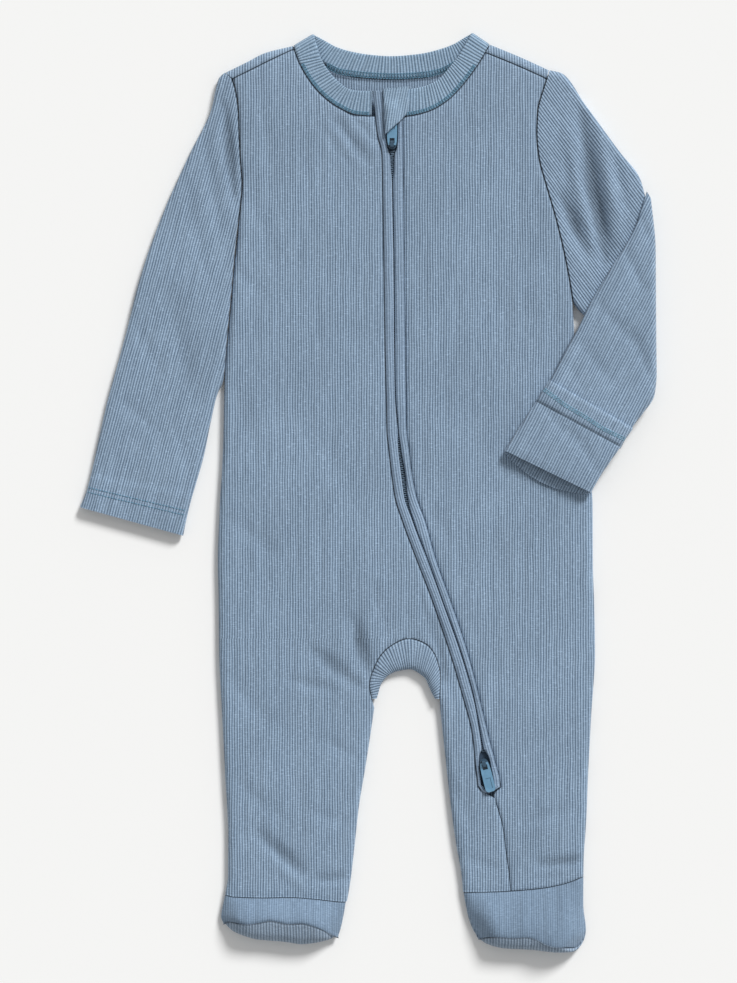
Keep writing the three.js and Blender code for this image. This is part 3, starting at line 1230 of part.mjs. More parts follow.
// The upper, cut back where the sole turns up to meet it at the corners of the toe.
function makeFootUpper(foot) {
  const shape = footShape(foot);
  const grid = [1, 0.75, 0.5, 0.25, 0].map((along) => FOOT_SHARES.map((share) => {
    const x = mix(shape.leftSide(along), shape.rightSide(along), share);
    const y = mix(shape.ankle(share), shape.toe(share), along);
    const ankleZ = SIDE_SEAM_Z + (BODY_TOP - SIDE_SEAM_Z) * shape.fullness(share, EDGE_RADIUS);
    return [x, y, mix(ankleZ, shape.toeZ(share), Math.sin((along * Math.PI) / 2) ** 0.9)];
  }));
  const upper = shellGrid(grid, (normal, down, across) => {
    if (normal.z < 0) normal.negate();
    if (across === 0) normal.set(-1, 0, 0);
    if (across === 1) normal.set(1, 0, 0);
    if (down === 1) normal.setY(0);
    if (down === 0) normal.copy(shape.toeFrame(across).normal);
    return normal.normalize();
  }, 0);
  const pieces = toSolid(upper).subtract(toSolid(makeFootSole(foot, SEAM_GAP))).decompose();
  return fromSolid(pieces.sort((a, b) => b.volume() - a.volume())[0]);
}

function makeFootSole(foot, margin) {
  const shape = footShape(foot);
  const profile = (share, along) => {
    const toe = shape.toe(share) - FOOT_SEAM_GAP;
    const bulge = Math.max(toe - shape.front(share), 0.3);
    const high = shape.toeZ(share);
    const table = [
      { along: 0, y: shape.ankle(share), z: 0 },
      { along: 0.3, y: mix(shape.ankle(share), toe - bulge + 6, 0.6), z: 0 },
      { along: 0.5, y: toe - bulge + 5, z: 0 },
      { along: 0.62, y: toe - bulge + 1.4, z: high * 0.14 },
      { along: 0.74, y: toe - bulge, z: high * 0.42 },
      { along: 0.87, y: toe - bulge * 0.7, z: high * 0.8 },
      { along: 1, y: toe, z: high },
    ];
    return [column(table, 'along', 'y')(along), column(table, 'along', 'z')(along)];
  };
  const grid = [0, 0.2, 0.5, 0.57, 0.65, 0.74, 0.83, 0.92, 1].map((along) => FOOT_SHARES.map((share) => {
    if (along === 1) {
      const seam = shape.toeFrame(share).ahead.multiplyScalar(FOOT_SEAM_GAP);
      return [mix(shape.leftSide(1), shape.rightSide(1), share) + seam.x, shape.toe(share) + seam.y, shape.toeZ(share)];
    }
    const full = shape.fullness(share, FOOT_ROLL);
    const [bulgeY, bulgeZ] = profile(share, along);
    const edgeY = mix(shape.ankle(share), shape.toe(share) - FOOT_SEAM_GAP, along);
    const edgeZ = mix(SIDE_SEAM_Z - SEAM_GAP, TOE_CORNER_Z - 0.1, ease((along - 0.8) / 0.2));
    const x = mix(shape.leftSide(along), shape.rightSide(along), share);
    return [x, mix(edgeY, bulgeY, full), mix(edgeZ, bulgeZ, full)];
  }));
  return shellGrid(grid, (normal, up, across) => {
    if (across === 0) normal.set(-1, 0, 0);
    if (across === 1) normal.set(1, 0, 0);
    if (across > 0 && across < 1 && up < 0.4) normal.set(normal.x, 0, -Math.abs(normal.z));
    if (up === 1) normal.copy(shape.toeFrame(across).normal);
    return normal.normalize();
  }, margin);
}

function extruded(shape, depth) {
  return new THREE.ExtrudeGeometry(shape, { depth, bevelEnabled: false, curveSegments: 6 });
}

// Slider with the crown that carries its pull. Its own +Y runs toward the pull's free end.
function makeSlider() {
  const half = SLIDER_WIDTH / 2;
  const outline = new THREE.Shape();
  outline.moveTo(-half, 1.5);
  outline.quadraticCurveTo(-half, 0.2 + SLIDER_LENGTH * 0.85, -half * 0.55, SLIDER_LENGTH);
  outline.lineTo(half * 0.55, SLIDER_LENGTH);
  outline.quadraticCurveTo(half, 0.2 + SLIDER_LENGTH * 0.85, half, 1.5);
  outline.quadraticCurveTo(half * 0.85, -CROWN_REACH, half * 0.35, -CROWN_REACH - 0.8);
  outline.lineTo(-half * 0.35, -CROWN_REACH - 0.8);
  outline.quadraticCurveTo(-half * 0.85, -CROWN_REACH, -half, 1.5);
  const body = extruded(outline, SLIDER_TOP - SLIDER_LOW).translate(0, 0, SLIDER_LOW);
  const rise = CROWN_TOP - SLIDER_TOP;
  const arch = new THREE.Shape();
  arch.moveTo(-CROWN_REACH, -0.3);
  arch.lineTo(-CROWN_REACH, rise - 0.9);
  arch.quadraticCurveTo(-CROWN_REACH, rise, -CROWN_REACH + 0.9, rise);
  arch.lineTo(CROWN_REACH - 0.9, rise);
  arch.quadraticCurveTo(CROWN_REACH, rise, CROWN_REACH, rise - 0.9);
  arch.lineTo(CROWN_REACH, -0.3);
  arch.lineTo(CROWN_REACH - CROWN_POST, -0.3);
  arch.lineTo(CROWN_REACH - CROWN_POST, rise - 0.85);
  arch.lineTo(-CROWN_REACH + CROWN_POST, rise - 0.85);
  arch.lineTo(-CROWN_REACH + CROWN_POST, -0.3);
  const crown = extruded(arch, CROWN_WIDTH);
  crown.rotateX(Math.PI / 2).rotateZ(Math.PI / 2).translate(-CROWN_WIDTH / 2, 0, SLIDER_TOP);
  return fromSolid(toSolid(body).add(toSolid(crown)));
}

// Pull: a flat tab with an eye for the crown and a plain sunk panel near its free end.
function makePull() {
  const half = PULL_WIDTH / 2;
  const outline = new THREE.Shape();
  outline.moveTo(-half * 0.75, -PULL_EYE.from);
  outline.lineTo(half * 0.75, -PULL_EYE.from);
  outline.quadraticCurveTo(half, 2.5, half, 7);
  outline.lineTo(half, PULL_LENGTH - 2.6);
  outline.quadraticCurveTo(half * 0.95, PULL_LENGTH, half * 0.4, PULL_LENGTH);
  outline.lineTo(-half * 0.4, PULL_LENGTH);
  outline.quadraticCurveTo(-half * 0.95, PULL_LENGTH, -half, PULL_LENGTH - 2.6);
  outline.lineTo(-half, 7);
  outline.quadraticCurveTo(-half, 2.5, -half * 0.75, -PULL_EYE.from);
  const eye = new THREE.Path();
  eye.moveTo(-PULL_EYE.half, PULL_EYE.from);
  eye.lineTo(-PULL_EYE.half, PULL_EYE.to);
  eye.lineTo(PULL_EYE.half, PULL_EYE.to);
  eye.lineTo(PULL_EYE.half, PULL_EYE.from);
  outline.holes.push(eye);
  const tab = extruded(outline, PULL_THICK).translate(0, 0, -PULL_THICK / 2);
  const sunk = new THREE.Shape();
  sunk.moveTo(-PULL_RECESS.half, PULL_RECESS.from);
  sunk.lineTo(PULL_RECESS.half, PULL_RECESS.from);
  sunk.lineTo(PULL_RECESS.half, PULL_RECESS.to);
  sunk.lineTo(-PULL_RECESS.half, PULL_RECESS.to);
  const recess = extruded(sunk, 1).translate(0, 0, PULL_THICK / 2 - PULL_RECESS.depth);
  return fromSolid(toSolid(tab).subtract(toSolid(recess)));
}

function namedMesh(name, geometry, color, roughness, metalness = 0) {
  const mesh = new THREE.Mesh(geometry, new THREE.MeshStandardMaterial({ color, roughness, metalness }));
  mesh.name = name;
  return mesh;
}

const suit = new THREE.Group();
suit.add(
  namedMesh('back', makeBack(), CLOTH_COLOUR, 0.95),
  namedMesh('front_main', makeFrontMain(), CLOTH_COLOUR, 0.95),
  namedMesh('front_side', makeFrontSide(), CLOTH_COLOUR, 0.95),
  namedMesh('gusset', makeGusset(), CLOTH_COLOUR, 0.95),
  namedMesh('sleeve_left', makeLeftSleeve(), CLOTH_COLOUR, 0.95),
  namedMesh('sleeve_right', makeRightSleeve(), CLOTH_COLOUR, 0.95),
  namedMesh('neckband', makeNeckband(), BAND_COLOUR, 0.95),
  namedMesh('zip_strip_left', makeZipStrip('left'), STRIP_COLOUR, 0.95),
  namedMesh('zip_strip_right', makeZipStrip('right'), STRIP_COLOUR, 0.95),
  namedMesh('chin_guard', makeChinGuard(), BAND_COLOUR, 0.95),
  namedMesh('zip_tape', makeZipTape(), TAPE_COLOUR, 0.9),
);
for (const [side, foot] of [['left', LEFT_FOOT], ['right', RIGHT_FOOT]]) {
  suit.add(
    namedMesh(`foot_${side}_upper`, makeFootUpper(foot), CLOTH_COLOUR, 0.95),
    namedMesh(`foot_${side}_sole`, makeFootSole(foot, 0), SOLE_COLOUR, 0.95),
  );
}
for (const [end, pull] of [['top', TOP_PULL], ['bottom', BOTTOM_PULL]]) {
  const slider = namedMesh(`slider_${end}`, makeSlider(), SLIDER_COLOUR, 0.4, 0.2);
  slider.position.set(pull.x, pull.y, 0);
  slider.rotation.z = pull.turn;
  const tab = namedMesh(`pull_${end}`, makePull(), SLIDER_COLOUR, 0.4, 0.2);
  tab.position.set(pull.x, pull.y, PULL_Z);
  tab.rotation.z = pull.turn;
  suit.add(slider, tab);
}

const box = new THREE.Box3().setFromObject(suit);
const centre = box.getCenter(new THREE.Vector3());
suit.position.set(-centre.x, -centre.y, -box.min.z);

export default suit;
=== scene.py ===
import sys
import logging
import math
from dataclasses import dataclass
from enum import Enum
from typing import Callable, Iterable, Sequence

import bpy
import numpy as np
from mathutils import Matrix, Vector
from mathutils.bvhtree import BVHTree


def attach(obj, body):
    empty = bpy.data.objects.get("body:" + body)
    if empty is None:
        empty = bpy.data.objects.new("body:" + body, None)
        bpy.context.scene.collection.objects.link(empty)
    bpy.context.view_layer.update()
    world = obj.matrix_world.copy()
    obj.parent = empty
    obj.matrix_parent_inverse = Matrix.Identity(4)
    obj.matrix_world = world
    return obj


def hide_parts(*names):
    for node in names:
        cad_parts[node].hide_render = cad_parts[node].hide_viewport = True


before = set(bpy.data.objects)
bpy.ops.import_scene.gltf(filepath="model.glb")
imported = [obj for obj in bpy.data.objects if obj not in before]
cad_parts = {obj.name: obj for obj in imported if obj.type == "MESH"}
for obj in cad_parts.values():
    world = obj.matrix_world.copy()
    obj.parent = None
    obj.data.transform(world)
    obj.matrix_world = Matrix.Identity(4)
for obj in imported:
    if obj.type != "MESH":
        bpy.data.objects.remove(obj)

LOG = logging.getLogger("sleepsuit")
Array = np.ndarray
Curve = Callable[[Array], Array]

MM = 0.001
SHIFT = np.array([-0.067, 0.375, 0.0])
BODY_TOP = 7.0
SEAM_Z = 3.5
SEAM_GAP = 0.3
SEAM_ROLL = 0.15
CREASE_DEPTH = 1.55
CREASE_WIDTH = 0.85
ROLL = 5.0
IMAGE_HEIGHT_PX = 983
PHOTO_MM_PER_PX = 0.65


class Part(Enum):
    """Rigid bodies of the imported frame."""

    SUIT = "suit"
    PULL = "pull_bottom"


class Side(Enum):
    """Side of the sleepsuit as the photograph shows it."""

    LEFT = "left"
    RIGHT = "right"


def smooth(knots: Sequence[float], values: Sequence[float]) -> Curve:
    """Smooth curve through knots that doesn't overshoot them.

    Args:
        knots: Positions, rising or falling.
        values: Value at each position.

    Returns:
        A function of position, held at both ends.
    """
    x, y = np.asarray(knots, float), np.asarray(values, float)
    if x[0] > x[-1]:
        x, y = x[::-1], y[::-1]
    slope = np.diff(y) / np.diff(x)
    tangent = np.concatenate([slope[:1], np.zeros(len(x) - 2), slope[-1:]])
    both = slope[:-1] * slope[1:]
    rising = both > 0
    tangent[1:-1][rising] = 2 * both[rising] / (slope[:-1] + slope[1:])[rising]

    def curve(at: Array) -> Array:
        """Value at a position.

        Args:
            at: positions along the table.

        Returns:
            One value for each position.
        """
        t = np.clip(np.asarray(at, float), x[0], x[-1])
        i = np.clip(np.searchsorted(x, t) - 1, 0, len(x) - 2)
        step = x[i + 1] - x[i]
        s = (t - x[i]) / step
        rise = s * s * (3 - 2 * s)
        bend = tangent[i] * s * (1 - s) ** 2 - tangent[i + 1] * s * s * (1 - s)
        return y[i] * (1 - rise) + y[i + 1] * rise + bend * step

    return curve


@dataclass(frozen=True)
class Table:
    """Rows of sizes in millimetres under named columns."""

    names: str
    rows: tuple

    def column(self, name: str) -> Array:
        """One column as an array."""
        return np.array([row[self.names.split().index(name)] for row in self.rows], float)

    def curve(self, key: str, value: str) -> Curve:
        """One column as a smooth function of another."""
        return smooth(self.column(key), self.column(value))

    def path(self, *names: str) -> Curve:
        """Columns as one path from 0 to 1.

        Args:
            names: Columns of the path, the first two being x and y.

        Returns:
            A function of the share of the path's length, with one row for each share.
        """
        cells = np.stack([self.column(name) for name in names], axis=1)
        steps = np.maximum(np.hypot(*np.diff(cells[:, :2], axis=0).T), 0.01)
        travelled = np.concatenate([[0.0], np.cumsum(steps)])
        curves = [smooth(travelled / travelled[-1], cells[:, i]) for i in range(len(names))]
        return lambda t: np.stack([curve(t) for curve in curves], axis=-1)

    def turned(self) -> "Table":
        """The same table from its last row to its first."""
        return Table(self.names, self.rows[::-1])


BODY = Table("y left right", (
    (-262, -92.6, 139.8), (-250, -90.8, 139.9), (-223, -90.7, 141.3), (-185, -92.6, 142.8),
    (-146, -94.6, 144.8), (-104, -96.6, 147.3), (-70, -96.9, 146.7), (-45, -97.4, 145.9),
    (-10, -96.2, 145.8), (27, -94.1, 142.6), (73, -93, 138), (104, -90.5, 133.9), (123, -88.6, 132.5),
    (146, -86.7, 128.8), (175, -83.6, 122.2), (200, -81.3, 115), (216, -82.4, 110.7), (232, -83.2, 109.1),
    (247, -83.7, 109.7), (260, -85.5, 113), (268, -87.9, 115.7)))
INSEAM = Table("y left right", (
    (-139, 4.2, 46.7), (-156, 1.8, 48.5), (-181, -2.1, 51.2), (-204, -5.9, 53.8), (-228, -8.7, 57),
    (-251, -11.6, 60.8), (-266, -14.4, 62)))
ANKLE = Table("x y", (
    (-92.6, -261), (-87, -262.3), (-68, -262.9), (-50, -262.6), (-36, -263.6), (-14.4, -265.6),
    (62, -259.5),
    (84, -258.9), (100, -257.9), (115, -256.3), (128, -253.5), (139.8, -249.1)))
GUSSET = Table("seam_x seam_y fold_x fold_y", (
    (2.4, -134, 5.7, -134), (0.9, -125.5, 8.9, -124), (5.6, -110.2, 14.2, -118.4),
    (13.2, -100.8, 19.5, -116.2),
    (26.5, -94.9, 27.5, -115.1), (38, -98.8, 33.5, -118), (44.7, -108.4, 37.5, -121.5),
    (47.1, -119.8, 40, -127.4),
    (46.6, -134, 43.3, -134)))
ZIP = Table("y x gap left right", (
    (-200, 77.6, 3.7, 71.5, 86), (-187, 76.7, 3.7, 71, 85.3), (-176, 75.6, 3.8, 69.7, 82.6),
    (-171, 75, 3, 69.3, 81.4), (-166, 74.3, 0.7, 68.9, 80), (-154, 72.3, 0.35, 67.3, 77),
    (-133, 68.5, 0.35, 61.8, 72), (-106, 60.8, 0.35, 53.9, 65), (-70, 48.1, 0.35, 41.8, 53.2),
    (-44, 38.8, 0.35, 31.9, 43.9), (-19, 29.3, 0.5, 22.6, 37), (-4, 24.7, 1.2, 17.8, 31.6),
    (11, 22.9, 1.4, 15.6, 28.5), (28, 20.5, 1, 13.6, 26.4), (40, 19.6, 0.35, 12.4, 24.9),
    (64, 17.7, 0.35, 11.9, 24.4), (99, 17.2, 0.35, 11.1, 24), (150, 16.8, 0.35, 10.4, 23.4),
    (200, 15.9, 0.35, 9.6, 22.8), (209, 15.8, 1, 9.4, 22.7), (218, 15.7, 1.4, 9.2, 22.6),
    (223, 15.6, 3, 8.6, 22.5),
    (231, 15.6, 3.7, 6.4, 22.4), (246, 15.6, 3.7, 4.6, 22.2), (260, 15.6, 3.6, 2.9, 22.2)))
LEFT_STRIP_END = Table("outer_x outer_y inner_x inner_y", (
    (71.9, -191, 74.3, -190.6), (74.4, -194.4, 75.9, -192.6), (77.3, -195.5, 77.3, -193.1)))
RIGHT_STRIP_END = Table("outer_x outer_y inner_x inner_y", (
    (86, -190.6, 79.6, -191), (82, -193.3, 78.7, -192.6), (77.7, -195.4, 77.7, -193.1)))
LEG_SEAM = Table("y main side", (
    (-262, 92.3, 92.7), (-251, 91.4, 91.8), (-236, 89.4, 89.8), (-219, 87.4, 87.8), (-203, 83.3, 83.8),
    (-196.4, 81, 81.6), (-195.8, 77.5, 81.9), (-194.8, 74.4, 82.3), (-191, 71.5, 86.4), (-187, 70.7, 85.6)))
SHOULDER = {
    Side.LEFT: Table("top_x top_y seam_x seam_y flat_x flat_y", (
        (-48.9, 289.4, -48.2, 287.3, -44.5, 286.9), (-67.1, 284.8, -65.3, 279.2, -65.3, 280.1),
        (-78.1, 279.2, -75.8, 273.9, -75.9, 274.7), (-92.3, 272.2, -87.9, 268, -88.7, 268.7))),
    Side.RIGHT: Table("top_x top_y seam_x seam_y flat_x flat_y", (
        (79.4, 290.2, 76.4, 285, 75, 287.8), (98.3, 282.4, 95.9, 277, 96.2, 277.8),
        (117.3, 273.7, 115.7, 268.2, 115.9, 269))),
}
BAND_FRONT_LEFT = Table("seam_x seam_y edge_x edge_y", (
    (2.3, 243.4, 2.3, 260), (-7.2, 244.1, -4.8, 260), (-18.2, 248.5, -11.9, 261.1),
    (-29.3, 256.4, -18.2, 265.2),
    (-38.7, 267.4, -26.1, 273.7), (-45, 278.5, -30.8, 281.6)))
BAND_BACK = Table("seam_x seam_y edge_x edge_y", (
    (-29.3, 278.5, -21.5, 289.4), (-20.5, 272.8, -13, 286.6), (-3.9, 269.1, 0.7, 284.1),
    (15, 268.2, 15, 283.1),
    (35.1, 269.1, 33, 284.5), (52.7, 274.6, 49.5, 288.5), (63, 280.8, 56.5, 291.3)))
BAND_FRONT_RIGHT = Table("seam_x seam_y edge_x edge_y", (
    (71.5, 276.9, 59, 283.1), (62.1, 264.3, 53, 275.6), (51.1, 253.2, 45, 267), (38.4, 246.2, 36.5, 263),
    (25.9, 243.5, 27, 261.2), (22.6, 243.3, 22.6, 260.8)))
BAND_PEAK = {Side.LEFT: (-48.9, 289.4, -35.6, 297.4), Side.RIGHT: (79.4, 290.2, 67.6, 298.2)}
CHIN_GUARD = Table("left_x left_y right_x right_y", (
    (9.9, 260.8, 26.7, 262.6), (10.1, 252, 26.1, 254), (10.4, 243.1, 25.5, 246.4),
    (10.7, 238.5, 22.2, 241.4),
    (10.9, 234.2, 16.6, 236.3), (11, 231.7, 13, 232.9)))
LEFT_SLEEVE = Table("outer_x outer_y inner_x inner_y", (
    (-92.6, 272, -84, 175), (-96.4, 268.5, -85.2, 166), (-101.4, 248.3, -86.8, 150),
    (-115.7, 219.1, -88.6, 130),
    (-133.3, 180.1, -91, 105), (-148.2, 137.8, -93.8, 73), (-158, 98.8, -98.2, 61.9),
    (-169, 59.3, -102.7, 42.1),
    (-175, 32.8, -106.6, 23), (-182.3, 1.6, -116.5, -12), (-186.9, -9.8, -119.9, -28.3)))
UPPER_ARM = Table("outer_x outer_y inner_x inner_y", (
    (117.7, 273.6, 133, 122.9), (125.3, 271.8, 135.5, 119), (140.3, 252.3, 147, 109.2),
    (163.8, 220.2, 160, 98.2),
    (176.3, 204, 171.5, 88.5), (179.6, 193, 181.5, 80)))
FOREARM = Table("left_x left_y right_x right_y low top", (
    (180.6, 194.6, 183.6, 189.5, 0.4, 8.4), (172.6, 170.2, 186.5, 158, 0.4, 11.5),
    (158.8, 147.2, 186.7, 125, 0.4, 12.6), (145, 124.2, 186.9, 96, 0.4, 12.8),
    (134.2, 102.7, 187.1, 76, 0.4, 12.8),
    (128.1, 91.9, 185.6, 62.8, 3, 13), (121.5, 78.5, 176.5, 49, 5.5, 13.4),
    (118, 72.2, 171, 41.8, 7.5, 13.6),
    (109.4, 57.4, 163.2, 27.9, 7.9, 13.4)))
CUFF = Table("left_x left_y right_x right_y top", (
    (117.2, 72.4, 171.4, 41.2, 14.7), (116.8, 71.5, 170.9, 40.3, 15.6), (109.2, 59.5, 163.6, 30, 15.9),
    (108.4, 58, 162.8, 28.4, 15.2), (97, 40.5, 153, 14.5, 15.4), (90.4, 30, 146.4, 3.6, 15),
    (88.4, 26.8, 144.4, -0.6, 14.3)))
FOOT_SIDES = {
    Side.LEFT: Table("along left right",
                     ((0, -92.6, -14.4), (0.4, -94.3, -16), (0.75, -95.3, -18), (1, -93.3, -19.6))),
    Side.RIGHT: Table("along left right",
                      ((0, 62, 139.8), (0.4, 64.4, 139.7), (0.75, 68.6, 141.4), (1, 72, 136))),
}
FOOT_ACROSS = {
    Side.LEFT: Table("share toe front", (
        (0, -280.2, -280.2), (0.05, -278.4, -283), (0.19, -279.2, -287.2), (0.32, -278.2, -290.2),
        (0.41, -276.9, -291), (0.57, -278.9, -291.7), (0.68, -278.6, -292.9), (0.79, -280.5, -292.4),
        (0.88, -283.5, -291), (0.95, -287.4, -290), (1, -289.1, -289.1))),
    Side.RIGHT: Table("share toe front", (
        (0, -289.9, -290), (0.1, -288, -292.6), (0.21, -287.4, -294.7), (0.34, -288, -296),
        (0.47, -287.5, -296.8),
        (0.57, -288.9, -297.1), (0.65, -291.7, -297.6), (0.74, -293.8, -298.1), (0.88, -294.4, -298.4),
        (1, -295.6, -295.7))),
}
# Creases: from x y to x y, width, rise
MAIN_CREASES = Table("x0 y0 x1 y1 width rise", (
    (-69, -223, -44, -246, 5, -1.6), (-33, -251, -15, -250, 3, -1.2), (112, -241, 137, -239, 4, -1.3),
    (2, -118, -10, -82, 5, -1.7), (-6, -126, -34, -104, 5, -1.2), (49, -122, 44, -84, 4, -1.2),
    (-20, 240, 0, 214, 4, -0.9)))
SOFT_CREASES = Table("x0 y0 x1 y1 width rise", (
    (-12, 246, 8, 224, 2.2, -0.5), (-30, 236, -12, 212, 3.5, -0.4), (-78, 205, -62, 150, 6, -0.5),
    (-70, 262, -64, 214, 5, -0.35), (60, 262, 66, 226, 4, -0.4), (98, 236, 84, 196, 5, -0.5),
    (104, 190, 92, 150, 5, -0.45), (30, 170, 44, 96, 9, -0.35), (-60, 120, -40, 40, 10, -0.35),
    (-85, 66, -70, 20, 6, -0.4), (-88, -18, -60, -40, 6, -0.45), (-90, -120, -64, -150, 6, -0.5),
    (-82, -190, -56, -212, 5, -0.5), (-30, -160, -8, -172, 4, -0.5), (-40, -206, -14, -214, 4, -0.45),
    (-10, -196, -40, -226, 4, -0.35), (-8, -114, -4, -74, 3.2, -0.8), (12, -92, 4, -60, 3.5, -0.6),
    (26, -92, 27, -62, 3, -0.35), (40, -94, 34, -66, 3, -0.45), (54, -130, 60, -104, 3, -0.5),
    (-24, -128, -50, -122, 4, -0.6), (54, -190, 66, -214, 4, -0.4), (60, -236, 84, -244, 4, -0.45),
    (100, -214, 130, -206, 5, -0.5), (108, -252, 132, -247, 3, -0.4), (96, -168, 130, -150, 7, -0.4),
    (84, -120, 120, -92, 8, -0.35), (70, -60, 110, -30, 9, -0.35), (112, 10, 138, 26, 6, -0.35),
    (60, 40, 96, 80, 10, -0.3), (-26, 30, 0, -26, 8, -0.35), (40, -10, 54, -34, 5, -0.4),
    (-62, -236, -40, -258, 3.5, 0.5), (-90, 150, -70, 128, 4, -0.4), (118, -238, 137, -234, 3, 0.4)))
SLEEVE_CREASES = Table("x0 y0 x1 y1 width rise", (
    (139, 243, 154, 150, 6, -2.4), (126, 192, 142, 156, 5, -2.2), (149, 235, 163, 165, 6, 1.6),
    (130, 236, 143, 165, 5, 1.4), (-93, 250, -87, 190, 4, -1.8), (-128, 128, -112, 60, 8, -0.8),
    (-106, 232, -96, 170, 5, -0.7), (-118, 200, -104, 140, 5, -0.5), (-150, 110, -136, 78, 5, -0.5),
    (-160, 60, -138, 40, 4, -0.45), (-124, 40, -112, 4, 4, -0.4), (134, 222, 143, 186, 2.4, -0.8),
    (160, 214, 168, 184, 3, -0.8), (128, 216, 130, 196, 2.5, -0.8), (146, 196, 158, 158, 3, -0.8)))
FOREARM_CREASES = Table("x0 y0 x1 y1 width rise", (
    (166, 158, 178, 132, 4, -0.8), (150, 120, 172, 98, 5, -0.7), (138, 96, 158, 70, 4, -0.6),
    (172, 100, 184, 72, 4, -0.7), (168, 70, 152, 54, 4, -0.5), (112, 58, 132, 34, 4, -0.6),
    (132, 40, 150, 12, 4, -0.6), (128, 84, 140, 66, 3, -0.4), (176, 178, 184, 160, 3, -0.6)))

FOOT_CREASES = Table("x0 y0 x1 y1 width rise", (
    (78.2, -267, 71.3, -279, 1.8, 0.7), (-72, -265, -76, -276, 3, -0.8), (-52, -264, -50, -275, 3.5, -0.6),
    (-30, -266, -34, -278, 3, -0.6), (96, -262, 92, -280, 4, -0.6), (120, -258, 124, -284, 5, -0.7),
    (108, -262, 110, -286, 3, -0.4)))


def mix(a: Array | float, b: Array | float, t: Array | float) -> Array:
    """Straight blend from a to b."""
    return a + (b - a) * t


def ease(t: Array | float) -> Array:
    """Smooth step from 0 to 1."""
    held = np.clip(t, 0, 1)
    return held * held * (3 - 2 * held)


def crease_rise(creases: Table, x: Array, y: Array) -> Array:
    """Height that creases add.

    Args:
        creases: Soft troughs and ridges between two points each.
        x: Positions in millimetres.
        y: Positions in millimetres.

    Returns:
        Height in millimetres at each position.
    """
    total = np.zeros(np.broadcast(x, y).shape)
    for x0, y0, x1, y1, wide, slight in creases.rows:
        width, rise = wide * CREASE_WIDTH, slight * CREASE_DEPTH
        dx, dy = x1 - x0, y1 - y0
        t = np.clip(((x - x0) * dx + (y - y0) * dy) / (dx * dx + dy * dy), 0, 1)
        bow = 0.16 * width * np.sin(7 * t + x0)
        away = np.hypot(x - x0 - dx * t, y - y0 - dy * t) + bow * (width < 6)
        total = total + rise * np.exp(-((away / width) ** 2)) * (0.35 + 0.65 * np.sin(np.pi * mix(0.12, 0.88, t)))
    return total


def front_height(x: Array, y: Array) -> Array:
    """Height of the front's outside, with its creases, in millimetres."""
    ripple = 0.07 * np.sin(x / 19 + 1.7 * np.sin(y / 53)) * np.sin(y / 31 + 0.8 * np.sin(x / 37))
    return BODY_TOP + crease_rise(MAIN_CREASES, x, y) + crease_rise(SOFT_CREASES, x, y) + ripple


def steps_along(length: float, start: Array, end: Array, inner: int) -> Array:
    """Distances along a row, close together at both ends.

    Args:
        length: Length of the row.
        start: Distances from its first end.
        end: Distances from its last end.
        inner: How many even steps lie between.

    Returns:
        Rising distances from 0 to the length.
    """
    middle = np.linspace(start[-1], length - end[-1], inner + 2)[1:-1]
    return np.concatenate([start, middle, (length - end)[::-1]])


def rolled(reach: Array, radius: Array | float) -> tuple[Array, Array]:
    """Turn and lift of cloth that rolls over at an edge.

    Args:
        reach: Distance from the edge.
        radius: Distance over which it rolls.

    Returns:
        How far it has turned, from 1 at the edge to 0, and its lift from 0 to 1.
    """
    turn = np.maximum(0, 1 - reach / radius)
    return turn, np.sqrt(np.maximum(0, 1 - turn * turn))


def to_frame(points: Array) -> Array:
    """Points in millimetres of the garment, in metres of the frame."""
    return (points + SHIFT) * MM


